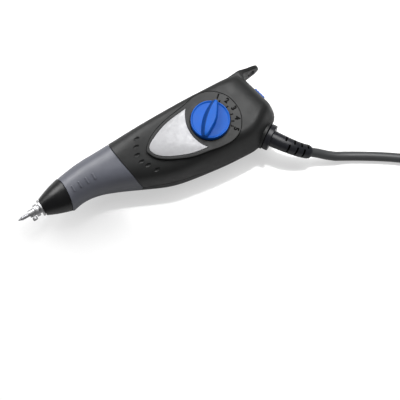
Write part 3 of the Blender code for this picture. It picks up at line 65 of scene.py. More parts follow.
# Fits shared by all pieces
GAP = 0.0003
RUN = 0.00045
OVERRUN = 0.001
FAR = 0.060

# Edges that bend by more degrees than this stay sharp
SHARP = 32.0

# Housing form, from the sleeve's front to the rear wall
SLEEVE_FRONT_X = 0.036
FORM_LENGTH = 0.144
FORM_DEPTH = 0.0496
HALF_THICKNESS = 0.021
FACE = 2 * HALF_THICKNESS
JOINT_share = 0.312
WALL = 0.0022
DRAFT_WEIGHT = 0.5

# Place, spine, belly, half thickness, squareness of belly and of spine, draft, lean
FORM_shares = (
    (0.000, 0.230, -0.248, 0.567, 2.0, 2.0, 0.00, 0.00),
    (0.035, 0.250, -0.226, 0.581, 2.0, 2.0, 0.00, 0.00),
    (0.076, 0.270, -0.220, 0.600, 2.0, 2.0, 0.00, 0.00),
    (0.139, 0.286, -0.250, 0.638, 2.1, 2.1, 0.01, 0.02),
    (0.201, 0.288, -0.315, 0.695, 2.3, 2.2, 0.03, 0.05),
    (0.312, 0.284, -0.460, 0.815, 2.9, 2.9, 0.10, 0.10),
    (0.417, 0.277, -0.585, 0.925, 4.2, 3.9, 0.20, 0.12),
    (0.549, 0.265, -0.680, 0.995, 6.5, 5.2, 0.30, 0.16),
    (0.722, 0.252, -0.752, 1.024, 9.0, 6.4, 0.37, 0.20),
    (0.826, 0.243, -0.750, 1.024, 10.0, 6.0, 0.38, 0.23),
    (0.951, 0.234, -0.565, 1.024, 10.0, 5.2, 0.38, 0.24),
    (1.000, 0.231, -0.468, 1.024, 10.0, 5.0, 0.38, 0.24),
)

# Hanging tab, half of it in each shell
TAB_BEYOND = 0.0115
TAB_END_X = SLEEVE_FRONT_X + FORM_LENGTH + TAB_BEYOND
TAB_REACH = 0.0155
TAB_ROOT = 0.0080
TAB_HALF_WIDTH = 0.0085
TAB_TOP_share = 0.256048
TAB_SQUARE = 2.6
TAB_TOP = TAB_TOP_share * FORM_DEPTH
TAB_THICKNESS = 0.0027
TAB_SINK = 0.0015
TAB_FILLET = 0.0036
TAB_EDGE = 0.0007
EYE_BACK = 0.0059
EYE_MIDDLE_X = TAB_END_X - EYE_BACK
EYE_LENGTH = 0.0052
EYE_WIDTH = 0.0068

# Raised panel on the dial side; outlines are shares of its reach from the dial
DIAL_share = 0.725
DIAL_SIDE_share = -0.225806
DIAL_X = SLEEVE_FRONT_X + DIAL_share * FORM_LENGTH
DIAL_Y = DIAL_SIDE_share * FORM_DEPTH
PANEL_LENGTH_share = 0.143056
PANEL_DEPTH_share = 0.415323
PANEL_LENGTH = PANEL_LENGTH_share * FORM_LENGTH
PANEL_DEPTH = PANEL_DEPTH_share * FORM_DEPTH
PANEL_PROUD = 0.0004
PANEL_TOP = FACE + PANEL_PROUD
PANEL_FLOOR = 0.0036
PANEL_shares = (
    (-2.213, 0.218),
    (-1.864, 0.519),
    (-1.282, 0.743),
    (-0.485, 0.880),
    (0.049, 0.985),
    (0.519, 0.860),
    (0.870, 0.500),
    (0.990, 0.058),
    (0.940, -0.340),
    (0.680, -0.740),
    (0.311, -0.915),
    (-0.117, -0.910),
    (-0.505, -0.840),
    (-1.078, -0.730),
    (-1.689, -0.465),
    (-2.039, -0.228),
    (-2.204, 0.020),
)
PLATE_shares = (
    (-0.490, -0.709),
    (-1.049, -0.620),
    (-1.646, -0.379),
    (-1.971, -0.165),
    (-2.118, 0.060),
    (-2.090, 0.250),
    (-1.816, 0.437),
    (-1.243, 0.655),
    (-0.461, 0.767),
)
PLATE_BOW = 0.0055
PLATE_THICKNESS = 0.0007
PLATE_SEAT = 0.0009

# Stroke dial and its boss in the shell
DIAL_RADIUS = 0.0129
DIAL_SEAT = 0.0018
DIAL_THICKNESS = 0.0054
DIAL_CROWN = 0.0006
RIDGE_RISE = 0.0045
RIDGE_WIDTH = 0.0062
RIDGE_REST = 43.0
STEM_RADIUS = 0.0040
STEM_LENGTH = 0.0098
BOSS_RADIUS = 0.0148
BOSS_DEPTH = 0.0056

# Finger dimples round the panel's nose, as shares of the form's length and depth
DIMPLE_LENGTH = 0.0054
DIMPLE_WIDTH = 0.0031
DIMPLE_DEPTH = 0.0009
DIMPLE_HEIGHT = 0.0022
DIMPLE_shares = (
    (0.394, 0.075),
    (0.373, -0.020),
    (0.358, -0.123),
    (0.360, -0.230),
    (0.377, -0.317),
    (0.401, -0.427),
)

# Grip ribs on the sleeve: places along it and across it
RIB_LENGTH = 0.0046
RIB_WIDTH = 0.0013
RIB_PROUD = 0.0005
RIB_shares = (0.026, 0.062, 0.098, 0.134)
RIB_SIDE_share = -0.052

# Nose cone, chrome ring and bush
CONE_FRONT_X = 0.0182
CONE_FRONT_RADIUS = 0.0060
CONE_REAR_share = 0.237903
CONE_TALL_share = 0.561905
CONE_REAR_RADIUS = min(CONE_REAR_share * FORM_DEPTH, CONE_TALL_share * HALF_THICKNESS)
CONE_SWELL = 0.0006
CONE_AXIS_Y = -0.0002
NOSE_AXIS = Matrix.Translation((0, 0, HALF_THICKNESS))
SPIGOT_LENGTH = 0.0045
CONE_BORE_RADIUS = 0.0049
RING_FLANGE = 0.0015
RING_TUBE = 0.0045
BUSH_share = 0.141129
BUSH_RADIUS = BUSH_share * FORM_DEPTH
SEAT_WIDTH = 0.0015

# Plunger, point and clamp screw
ROD_RADIUS = 0.0030
ROD_FRONT_X = 0.0082
ROD_FRONT_RADIUS = 0.0026
ROD_HEAD_X = 0.0126
ROD_HEAD_RADIUS = 0.0042
ROD_HEAD_LENGTH = 0.0026
SHOULDER_X = 0.0520
SHOULDER_RADIUS = 0.0058
SHOULDER_LENGTH = 0.0022
ROD_END_RADIUS = 0.0023
POINT_RADIUS = 0.0013
POINT_LENGTH = 0.0210
POINT_CONE = 0.0030
POINT_FLAT = 0.0002
CLAMP_SCREW_X = 0.0104
CLAMP_SCREW_RADIUS = 0.0009
CLAMP_HEAD_RADIUS = 0.0017
CLAMP_HEAD_LENGTH = 0.0018
CLAMP_REACH = 0.0036

# Armature, in which the rod ends
ARMATURE_share = 0.388889
ARMATURE_X = SLEEVE_FRONT_X + ARMATURE_share * FORM_LENGTH
ARMATURE_LENGTH = 0.0045

# Screws that hold the two shells
SCREW_RADIUS = 0.0013
SCREW_HEAD_RADIUS = 0.0027
SCREW_HEAD_LENGTH = 0.0020
SCREW_LENGTH = 0.0200
SCREW_BOSS_RADIUS = 0.0036
SCREW_SEAT = 0.0080
SLOT_WIDTH = 0.0009
SLOT_DEPTH = 0.0009
SLOT_share = 0.7
SCREW_TURN = 20
SCREW_TURN_STEP = 35
SCREW_shares = (
    (0.355, -0.333),
    (0.650, 0.085),
    (0.640, -0.454),
    (0.905, 0.060),
)

# Slide switch in the rear wall
SWITCH_SIDE_share = -0.173387
SWITCH_Y = SWITCH_SIDE_share * FORM_DEPTH
SWITCH_TRAVEL = 0.0050
SLIDER_LENGTH = 0.0088
SLIDER_WIDTH = 0.0060
SLIDER_PROUD = 0.0018
SLIDER_CAP_share = 0.85
SLIDER_RIB_share = 0.28
SLIDER_FLANGE = 0.0014
SLIDER_LAP = 0.0012

# Strain relief on the chamfered rear corner
RELIEF_share = 0.940972
RELIEF_SIDE_share = -0.673387
RELIEF_X = SLEEVE_FRONT_X + RELIEF_share * FORM_LENGTH
RELIEF_Y = RELIEF_SIDE_share * FORM_DEPTH
RELIEF_ANGLE = -57.0
RELIEF_FLANGE_RADIUS = 0.0090
RELIEF_FLANGE_LENGTH = 0.0040
RELIEF_PAD = 0.0030
RELIEF_PAD_EDGE = 0.0006
BOOT_START = Vector((RELIEF_FLANGE_LENGTH - RELIEF_PAD_EDGE, 0, 0))
RELIEF_NECK_RADIUS = 0.0062
RELIEF_INNER_RADIUS = 0.0082
RELIEF_INNER_LENGTH = 0.0020
RELIEF_ROOT_RADIUS = 0.0057
RELIEF_LENGTH = 0.0290
RELIEF_BEND = 28.0
RELIEF_DROP = 26.0
RELIEF_EASE = 1.5
RELIEF_EARLY = 1.6
RELIEF_TAPER = 0.8
RELIEF_STEPS = 14

# Mains lead, its coil, tie and plug; the routes start from the strain relief
CORD_RADIUS = 0.0032
CORD_BED = 0.0034
ROUTE_PIECES = 8
CORD_route = (
    (0.0345, -0.0316, 0.0060),
    (0.0445, -0.0366, 0.0036),
    (0.0585, -0.0451, 0.0034),
    (0.0725, -0.0546, 0.0034),
    (0.0885, -0.0676, 0.0034),
    (0.1005, -0.0766, 0.0034),
)
TAIL_route = (
    (0.1833, -0.0591, 0.0200),
    (0.1880, -0.0466, 0.0130),
    (0.1890, -0.0326, 0.0066),
    (0.1855, -0.0186, 0.0044),
    (0.1775, -0.0076, 0.0050),
)
COIL_AHEAD = 0.1365
COIL_ASIDE = 0.0496
COIL_X = RELIEF_X + COIL_AHEAD
COIL_Y = RELIEF_Y - COIL_ASIDE
COIL_INNER_RADIUS = 0.0290
COIL_START = 240.0
COIL_TURNS = 7.25
COIL_LAYERS = 4
COIL_POINTS = 24
COIL_PITCH = 0.0071
TIE_ANGLE = 120.0
TIE_WIDTH = 0.0060
TIE_THICKNESS = 0.0012
TIE_CLEARANCE = 0.0006
PLUG_AHEAD = 0.1755
PLUG_ASIDE = 0.0034
PLUG_X = RELIEF_X + PLUG_AHEAD
PLUG_Y = RELIEF_Y - PLUG_ASIDE
PLUG_ANGLE = 138.0
PLUG_LENGTH = 0.0360
PLUG_WIDTH = 0.0350
PLUG_THICKNESS = 0.0140
PLUG_PIN_RADIUS = 0.0020
PLUG_PIN_LENGTH = 0.0190
PLUG_PIN_SEAT = 0.0040
PLUG_PIN_SPREAD = 0.0190
PLUG_EDGE = 0.0022

# Plug's place along it, and shares of its width and thickness there
PLUG_shares = (
    (0.00, 0.343, 0.70),
    (0.30, 0.377, 0.78),
    (0.48, 0.720, 0.95),
    (0.62, 1.000, 1.00),
    (0.96, 1.000, 1.00),
    (1.00, 0.937, 0.90),
)

# Numbers of sides and steps of the visual pieces
SIDES = 96
SMALL_SIDES = 48
HOLE_SIDES = 32
POINT_SIDES = 64
WIDE_SIDES = 128
DIAL_SIDES = 160
DIMPLE_SIDES = 40
DIMPLE_RINGS = 24
EYE_STEPS = 6
CURVE_STEPS = 6
CORNER_STEPS = 5
SHELL_STATIONS = 150
REAR_STEPS = 8
LIP_STATIONS = 12
HOLLOW_STATIONS = 60
SLEEVE_STATIONS = 80
CONE_STATIONS = 40
BOOT_END_STEPS = 4
TAB_ROOT_STEPS = 10
TAB_STEPS = 24
PANEL_STEPS = 8
RIDGE_STATIONS = 48
PLATE_STEPS = 12
PLATE_BOW_STEPS = 32
PLUG_STATIONS = 41

# Soft edges and finer forms of the visual pieces
CORNER_share = 0.45
JOINT_EDGE = 0.00025
REAR_ROUND = 0.0055
REAR_DRAFT = 6.0
REAR_DOME = 0.0110
REAR_DOME_LENGTH = 0.0190
REAR_DOME_share = 0.96
REAR_BLEND_share = 0.17
LIP_LENGTH = 0.0040
LIP_WALL = 0.0012
LIP_LEAD = 1.5
SLEEVE_LAP = 0.7
CONE_BOW_TOP = 0.0012
CONE_BOW_SIDE = 0.0016
CONE_BLEND = 0.0100
CONE_BLEND_share = 0.07
RIB_SHIFT = 0.0016
RIB_SOFT_share = 0.8
BOOT_END_RADIUS = 0.0047
PAD_SOFT = 0.0004
JOINT_SPINE = 0.0025
JOINT_BELLY = 0.0007
JOINT_CROWN = 0.0028
JOINT_BLEND_share = 0.10
TAB_ROOT_HALF = 0.0150
TAB_NARROW_share = 0.75
TAB_END_share = 0.9995
TAB_SOFT = 1.4
TAB_THIN_share = 0.9
# Width of the dark line of painted shade round the panel
PANEL_LINE = 0.0003
JOINT_CUT = 0.00012
PANEL_EDGE = 0.0003
DIAL_RIM = 0.0006
DIAL_DISH = 0.0006
# Share of the dial's colour in the painted shade on the ridge's far flank
DIAL_PAINTED_SHADE_share = 0.42
RIDGE_EDGE = 0.0005
RIDGE_END_share = 0.20
RIDGE_END_POWER = 10
RIDGE_SHARP = 28.0
# Ridge faces turned further than this towards the far flank get the painted shade
RIDGE_FACING = 0.3
INLAY = 0.00012
RELIEF_SLOTS = 7
RELIEF_SLOT_shares = (0.33, 0.88)
RELIEF_SLOT = 0.0013
RELIEF_CORE_share = 0.10
RELIEF_WEB_share = 0.22
DIGIT_WEIGHT = 0.00026
FONT_SIZE = 1.4
PLATE_EDGE = 0.00022
SLIDER_RIBS = 5

# View of the pen, in degrees: round it and up from the surface
VIEW_TURN = -30.66
VIEW_HEIGHT = 75.0

# Dial's scale: angles clockwise from the picture's vertical
DIGIT_RADIUS = 0.0178
DIGIT_angles = (16.9, 38.4, 60.7, 83.4, 107.0)
TICK_RADIUS = 0.0148
TICK_LENGTH = 0.0020
TICK_WIDTH = 0.00085
TICK_angles = (24.8, 49.6, 72.0, 90.0, 103.0)

# Ridge: place, left foot, left and right edge of its top, right foot
RIDGE_rows = (
    (-1.0, -0.0026, -0.0006, 0.0012, 0.0018),
    (-0.5, -0.0043, -0.0018, 0.0027, 0.0035),
    (0.0, -0.0050, -0.0022, 0.0036, 0.0044),
    (0.5, -0.0043, -0.0018, 0.0027, 0.0035),
    (1.0, -0.0026, -0.0006, 0.0012, 0.0018),
)

# Ridge's crest, in steps of RIDGE_EDGE from the edges of its top: across and up
CREST_left = ((-1, -1.6), (-0.3, -0.4), (0.6, 0))
CREST_right = ((-0.8, -0.2), (0, -1))
CREST_SWELL = 0.2

# Scale and amount by which roughness and colour vary, and the grain's scale, depth, strength
MOULDED_ROUGHNESS = (180, 0.05)
MOULDED_COLOUR = (90, 0.06)
METAL_ROUGHNESS = (420, 0.06)
METAL_COLOUR = (260, 0.05)
METAL_GRAIN = (1900, 0.00002, 0.3)
TURNING_DEPTH = 0.00003
TURNING_STRENGTH = 0.4

# A noise texture's usual range, and the least roughness
NOISE_LOW = 0.3
NOISE_HIGH = 0.7
SMOOTHEST = 0.02

# Stage
CAMERA_AIM = (0.0128, -0.0262, 0.021)
SKY_LIGHT = 0.17
FLOOR_TONE = 0.50
FLOOR_GLEAM = 0.10
FLOOR_REACH = 4.0
FLOOR_BELOW = 0.0002
FLOOR_glow = (
    ("Is Camera Ray", 0.52),
    ("Is Glossy Ray", 0.065),
    ("Is Transmission Ray", 0.065),
)
SENSOR_WIDTH = 36.0
LAMPS = (
    ("key_lamp", (0.46, 0.22, 0.95), (0.85, 0.75), 10.5),
    ("band_lamp", (-0.27, 0.84, 0.70), (0.90, 0.55), 9.5),
)


# Colours and finishes


def linear(red, green, blue):
    """A colour given in screen values from 0 to 255."""
    return tuple((value / 255) ** 2.2 for value in (red, green, blue))


class Finish:
    """A node material under construction."""

    def __init__(self, name, colour, roughness, metallic=0.0, **sockets):
        self.material = bpy.data.materials.new(name)
        self.material.use_nodes = True
        self.tree = self.material.node_tree
        self.shader = self.tree.nodes["Principled BSDF"]
        self.set(self.shader, "Base Color", (*colour, 1))
        self.set(self.shader, "Roughness", roughness)
        self.set(self.shader, "Metallic", metallic)
        for socket, value in sockets.items():
            self.set(self.shader, socket.replace("_", " "), value)
        self.material.diffuse_color = (*colour, 1)
        self.colour = colour
        self.roughness = roughness
        self.place = self.node("ShaderNodeTexCoord").outputs["Object"]

    def node(self, kind, **values):
        made = self.tree.nodes.new(kind)
        for key, value in values.items():
            if hasattr(made, key):
                setattr(made, key, value)
            else:
                self.set(made, key.replace("_", " "), value)
        return made

    def set(self, node, socket, value):
        node.inputs[socket].default_value = value

    def link(self, source, target):
        self.tree.links.new(source, target)

    def noise(self, scale, detail=2.0):
        made = self.node("ShaderNodeTexNoise", Scale=scale, Detail=detail)
        self.link(self.place, made.inputs["Vector"])
        return made.outputs["Fac"]

    def spread(self, value, low, high):
        """Map a noise value to a range."""
        made = self.node("ShaderNodeMapRange")
        self.set(made, "From Min", NOISE_LOW)
        self.set(made, "From Max", NOISE_HIGH)
        self.set(made, "To Min", low)
        self.set(made, "To Max", high)
        self.link(value, made.inputs["Value"])
        return made.outputs["Result"]

    def vary_roughness(self, scale, amount):
        low = max(SMOOTHEST, self.roughness - amount)
        value = self.spread(self.noise(scale), low, self.roughness + amount)
        self.link(value, self.shader.inputs["Roughness"])
        return self

    def vary_colour(self, scale, amount):
        mix = self.node("ShaderNodeMix", data_type="RGBA")
        dark = tuple(value * (1 - amount) for value in self.colour)
        light = tuple(min(1.0, value * (1 + amount)) for value in self.colour)
        fac = self.spread(self.noise(scale, 3.0), 0.0, 1.0)
        self.link(fac, mix.inputs[0])
        colours = [socket for socket in mix.inputs if socket.type == "RGBA"]
        colours[0].default_value = (*dark, 1)
        colours[1].default_value = (*light, 1)
        result = [socket for socket in mix.outputs if socket.type == "RGBA"][0]
        self.link(result, self.shader.inputs["Base Color"])
        return self

    def bump(self, value, depth, strength):
        made = self.node("ShaderNodeBump", Strength=strength, Distance=depth)
        self.link(value, made.inputs["Height"])
        self.link(made.outputs["Normal"], self.shader.inputs["Normal"])

    def grain(self, scale, depth, strength):
        self.bump(self.noise(scale), depth, strength)

    def rings(self, scale):
        """Fine turning marks round the nose axis."""
        wave = self.node("ShaderNodeTexWave", Scale=scale, Distortion=0.6)
        wave.wave_type = "BANDS"
        wave.bands_direction = "X"
        self.link(self.place, wave.inputs["Vector"])
        self.bump(wave.outputs["Fac"], TURNING_DEPTH, TURNING_STRENGTH)


finish = {}


def make_finishes(look):
    """Every finish of the pen, by name."""

    def moulded(name, colour, roughness, grain=2600, depth=0.00005, strength=0.5, **sockets):
        made = Finish(name, colour, roughness, **sockets)
        made.vary_roughness(*MOULDED_ROUGHNESS).vary_colour(*MOULDED_COLOUR)
        made.grain(grain, depth, strength)
        finish[name] = made.material

    def metal(name, colour, roughness, rings=0.0, metallic=1.0, **sockets):
        made = Finish(name, colour, roughness, metallic, **sockets)
        scale, amount = METAL_ROUGHNESS
        made.vary_roughness(scale, min(amount, roughness / 2)).vary_colour(*METAL_COLOUR)
        if rings:
            made.rings(rings)
        else:
            made.grain(*METAL_GRAIN)
        finish[name] = made.material

    black = tuple(look.housing_colour)
    moulded("housing", black, 0.42, 3000, 0.00006, 0.6, Specular_IOR_Level=0.36)
    moulded("grip", tuple(look.grip_colour), 0.42, 2600, 0.00004, 0.4, Specular_IOR_Level=0.75)
    moulded("nose_gloss", linear(14, 14, 16), 0.34, 700, 0.00001, 0.15)
    moulded("dial_blue", tuple(look.dial_colour), 0.48, 2200, 0.00002, 0.3, Specular_IOR_Level=0.25)
    # Painted shade: a darker copy of the dial's blue for the ridge's far flank
    shade = tuple(value * DIAL_PAINTED_SHADE_share for value in look.dial_colour)
    moulded("dial_shade", shade, 0.5, 2200, Specular_IOR_Level=0.15)
    # Black of the printed digits and ticks, also used as painted shade in the panel's joint and the
    # boot's slots
    moulded("digit_black", linear(12, 12, 12), 0.7, Specular_IOR_Level=0.1)
    moulded("boot_rubber", linear(34, 35, 40), 0.34, 1500, 0.00004, 0.3)
    moulded("cord_rubber", tuple(look.cord_colour), 0.36, 1400, 0.00005, 0.4)
    moulded("nylon", linear(58, 58, 61), 0.5, 1800)
    metal("plate_silver", tuple(look.plate_colour), 0.48, metallic=0.7)
    metal("chrome", (0.50, 0.50, 0.51), 0.40)
    metal("steel", (0.42, 0.42, 0.43), 0.50)
    metal("screw_steel", (0.42, 0.42, 0.44), 0.30)
    metal("carbide", (0.42, 0.42, 0.44), 0.46)
    metal("bronze", (0.60, 0.42, 0.18), 0.30, 900)
    metal("iron", (0.30, 0.30, 0.31), 0.5)
    metal("copper", (0.72, 0.30, 0.13), 0.32, 1400)
    metal("brass_pin", (0.80, 0.62, 0.34), 0.2)


# Shared tools


def clamped(value):
    """A value held between 0 and 1."""
    return min(1.0, max(0.0, value))


def eased(share):
    """A share from 0 to 1 that starts and ends softly."""
    return share * share * (3 - 2 * share)


def placed(at, turn=0.0, axis="Z"):
    """A place with a turn in degrees."""
    return Matrix.Translation(at) @ Matrix.Rotation(math.radians(turn), 4, axis)


def smooth_row(rows, place):
    """The row's values at a place, on a smooth curve through all rows."""
    table = np.array(rows)
    keys = table[:, 0]
    slopes = np.gradient(table, keys, axis=0)
    index = int(np.clip(np.searchsorted(keys, place) - 1, 0, len(keys) - 2))
    span = keys[index + 1] - keys[index]
    t = (place - keys[index]) / span
    start, end = table[index], table[index + 1]
    return (
        (2 * t**3 - 3 * t**2 + 1) * start
        + (t**3 - 2 * t**2 + t) * span * slopes[index]
        + (3 * t**2 - 2 * t**3) * end
        + (t**3 - t**2) * span * slopes[index + 1]
    )


def smooth_path(points, pieces, closed=False):
    """Points on a smooth curve through the given ones."""
    corners = [np.array(point, float) for point in points]
    if closed:
        corners = [corners[-1], *corners, corners[0], corners[1]]
    else:
        corners = [2 * corners[0] - corners[1], *corners, 2 * corners[-1] - corners[-2]]
    path = []
    for a, b, c, d in zip(corners, corners[1:], corners[2:], corners[3:]):
        for step in range(pieces):
            t = step / pieces
            bend = (2 * a - 5 * b + 4 * c - d) * t * t + (3 * b - a - 3 * c + d) * t**3
            path.append(b + ((c - a) * t + bend) / 2)
    if not closed:
        path.append(corners[-2])
    return path


def grown(outline, distance):
    """A closed outline moved outwards, or inwards where the distance is negative."""
    points = np.array(outline)
    after = np.roll(points, -1, axis=0)
    before = np.roll(points, 1, axis=0)
    area = (points[:, 0] * after[:, 1] - after[:, 0] * points[:, 1]).sum()
    along = after - before
    along /= np.linalg.norm(along, axis=1)[:, None]
    outward = np.stack([along[:, 1], -along[:, 0]], axis=1) * math.copysign(1, area)
    return points + outward * distance


def lofted(rings, closed=False):
    """A skin over rings of equally many points, with its ends capped, or joined if closed."""
    shape = bmesh.new()
    loops = [[shape.verts.new(point) for point in ring] for ring in rings]
    count = len(loops[0])
    for low, high in zip(loops, loops[1:] + loops[:1] if closed else loops[1:]):
        for i in range(count):
            j = (i + 1) % count
            shape.faces.new((low[i], low[j], high[j], high[i]))
    if not closed:
        shape.faces.new(loops[0])
        shape.faces.new(loops[-1])
    return shape


def turned(profile, steps=SIDES):
    """A profile of (along X, radius) turned about X; a loop gives a ring with a bore."""
    shape = bmesh.new()
    bored = all(radius > 0 for _, radius in profile)
    columns = []
    poles = {}
    for step in range(steps):
        angle = math.tau * step / steps
        column = []
        for x, radius in profile:
            if radius > 0:
                point = (x, radius * math.cos(angle), radius * math.sin(angle))
                column.append(shape.verts.new(point))
            else:
                if x not in poles:
                    poles[x] = shape.verts.new((x, 0, 0))
                column.append(poles[x])
        columns.append(column)
    count = len(profile)
    for a, b in zip(columns, columns[1:] + columns[:1]):
        for i in range(count if bored else count - 1):
            j = (i + 1) % count
            corners = dict.fromkeys((a[i], a[j], b[j], b[i]))
            if len(corners) > 2:
                shape.faces.new(tuple(corners))
    return shape


def rounded(profile, radius, steps=3):
    """A profile with its inner corners cut by small arcs; its ends stay."""
    out = [profile[0]]
    for before, here, after in zip(profile, profile[1:], profile[2:]):
        a, b, c = Vector(before), Vector(here), Vector(after)
        reach = min(radius, (a - b).length * CORNER_share, (c - b).length * CORNER_share)
        start = b + (a - b).normalized() * reach
        end = b + (c - b).normalized() * reach
        for step in range(steps + 1):
            t = step / steps
            point = start * (1 - t) ** 2 + b * 2 * t * (1 - t) + end * t**2
            out.append(tuple(point))
    out.append(profile[-1])
    return out


def stepped(*cuts):
    """A turned profile: places along X, with the radius between each two of them."""
    profile = [(cuts[0], 0)]
    for start, radius, end in zip(cuts[::2], cuts[1::2], cuts[2::2]):
        profile += [(start, radius), (end, radius)]
    return [*profile, (cuts[-1], 0)]


def rod(x0, x1, radius, steps=SIDES):
    """A round rod along X."""
    return turned(stepped(x0, radius, x1), steps)


def block(low, high):
    """A box between two corners."""
    shape = bmesh.new()
    size = Vector(high) - Vector(low)
    middle = (Vector(high) + Vector(low)) / 2
    grow = Matrix.Translation(middle) @ Matrix.Diagonal((*size, 1))
    bmesh.ops.create_cube(shape, size=1, matrix=grow)
    return shape


def soft_block(low, high, edge, segments=3):
    """A block with rounded edges."""
    shape = block(low, high)
    bmesh.ops.bevel(
        shape, geom=shape.edges[:], offset=edge, segments=segments, profile=0.5, affect="EDGES"
    )
    return shape


def prism(outline, low, high, edge=0.0, steps=3):
    """An outline in X and Y drawn up; its upper rim is rounded by edge."""
    levels = [(0.0, low), (0.0, high - edge)]
    for step in range(1, steps + 1 if edge else 0):
        angle = math.pi / 2 * step / steps
        levels.append((edge * (1 - math.cos(angle)), high - edge * (1 - math.sin(angle))))
    return lofted([[(x, y, z) for x, y in grown(outline, -inset)] for inset, z in levels])


def soft_rectangle(half_y, half_z, edge, middle=0.0):
    """Y and Z round a rectangle with rounded corners."""
    outline = []
    for corner, (side_y, side_z) in enumerate(((1, 1), (-1, 1), (-1, -1), (1, -1))):
        for step in range(CORNER_STEPS + 1):
            angle = math.pi / 2 * (corner + step / CORNER_STEPS)
            y = middle + side_y * (half_y - edge) + edge * math.cos(angle)
            z = side_z * (half_z - edge) + edge * math.sin(angle)
            outline.append((y, z))
    return outline


def moved(shape, at=(0, 0, 0), turn=0.0, axis="Z"):
    shape.transform(placed(at, turn, axis))
    return shape


def upright(shape, at=(0, 0, 0)):
    """A shape turned about X stood up along Z, its low end at the place given."""
    return moved(shape, at, -90, "Y")


def sides_of(ahead):
    """The level direction aside of a direction, and the one above it."""
    aside = Vector((0, 0, 1)).cross(ahead).normalized()
    return aside, ahead.cross(aside)


def swept(path, radii, sides):
    """Round rings of changing radius along a path, as one closed skin."""
    rings = []
    for index, centre in enumerate(path):
        ahead = path[min(index + 1, len(path) - 1)] - path[max(index - 1, 0)]
        aside, up = sides_of(ahead.normalized())
        rings.append(
            [
                centre + (aside * math.cos(a) + up * math.sin(a)) * radii[index]
                for a in (math.tau * side / sides for side in range(sides))
            ]
        )
    return lofted(rings)


def linked(name, data):
    """A new object of a mesh, curve, lamp or camera, in the scene."""
    made = bpy.data.objects.new(name, data)
    bpy.context.scene.collection.objects.link(made)
    return made


def unit_of(name, shape):
    """An object from a bmesh as it is, such as the one that copies are made from."""
    bmesh.ops.recalc_face_normals(shape, faces=shape.faces)
    mesh = bpy.data.meshes.new(name)
    shape.to_mesh(mesh)
    shape.free()
    return linked(name, mesh)


def piece(name, shape, look=None, place=None):
    """An object from a bmesh in the pen's frame, or in the frame that place gives."""
    if place is not None:
        shape.transform(place)
    shape.transform(Matrix.Translation(PEN))
    made = unit_of(name, shape)
    if look:
        made.data.materials.append(finish[look])
        soften(made.data)
    return made


def soften(mesh, sharp=SHARP):
    """Smooth shading with the sharp edges kept."""
    mesh.shade_smooth()
    mesh.set_sharp_from_angle(angle=math.radians(sharp))


def plain(made, sharp=None):
    """The object's evaluated mesh, with no modifier left."""
    graph = bpy.context.evaluated_depsgraph_get()
    mesh = bpy.data.meshes.new_from_object(made.evaluated_get(graph))
    mesh.name = made.name
    made.modifiers.clear()
    if made.type != "MESH":
        name = made.name
        bpy.data.objects.remove(made)
        made = linked(name, mesh)
    else:
        made.data = mesh
    if sharp:
        soften(mesh, sharp)
    return made


def carve(made, steps, sharp=SHARP):
    """Joins and cuts in order, then one plain mesh; the tools are removed."""
    tools = []
    for operation, tool in steps:
        step = made.modifiers.new(tool.name, "BOOLEAN")
        step.operation = operation
        step.solver = "EXACT"
        step.object = tool
        tools.append(tool)
    made = plain(made, sharp)
    for tool in dict.fromkeys(tools):
        bpy.data.objects.remove(tool)
    return made


def add(name, shape, place=None):
    """A step that joins a shape to a piece."""
    return "UNION", piece(name + "_tool", shape, place=place)


def cut(name, shape, place=None):
    """A step that takes a shape away from a piece."""
    return "DIFFERENCE", piece(name + "_tool", shape, place=place)


def hold(made, body, slot, *nodes):
    """The piece rides on a body and stands for its CAD nodes; its slot is not used."""
    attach(made, body)
    if nodes:
        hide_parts(*nodes)
    return made


def tube(name, path, radius, look):
    """A round tube along a path in the pen's frame, with its ends filled."""
    curve = bpy.data.curves.new(name, "CURVE")
    curve.dimensions = "3D"
    curve.bevel_depth = radius
    curve.bevel_resolution = CURVE_STEPS
    curve.use_fill_caps = True
    line = curve.splines.new("POLY")
    line.points.add(len(path) - 1)
    for point, place in zip(line.points, path):
        point.co = (*(Vector(place) + PEN), 1)
    line.use_smooth = True
    curve.materials.append(finish[look])
    return linked(name, curve)


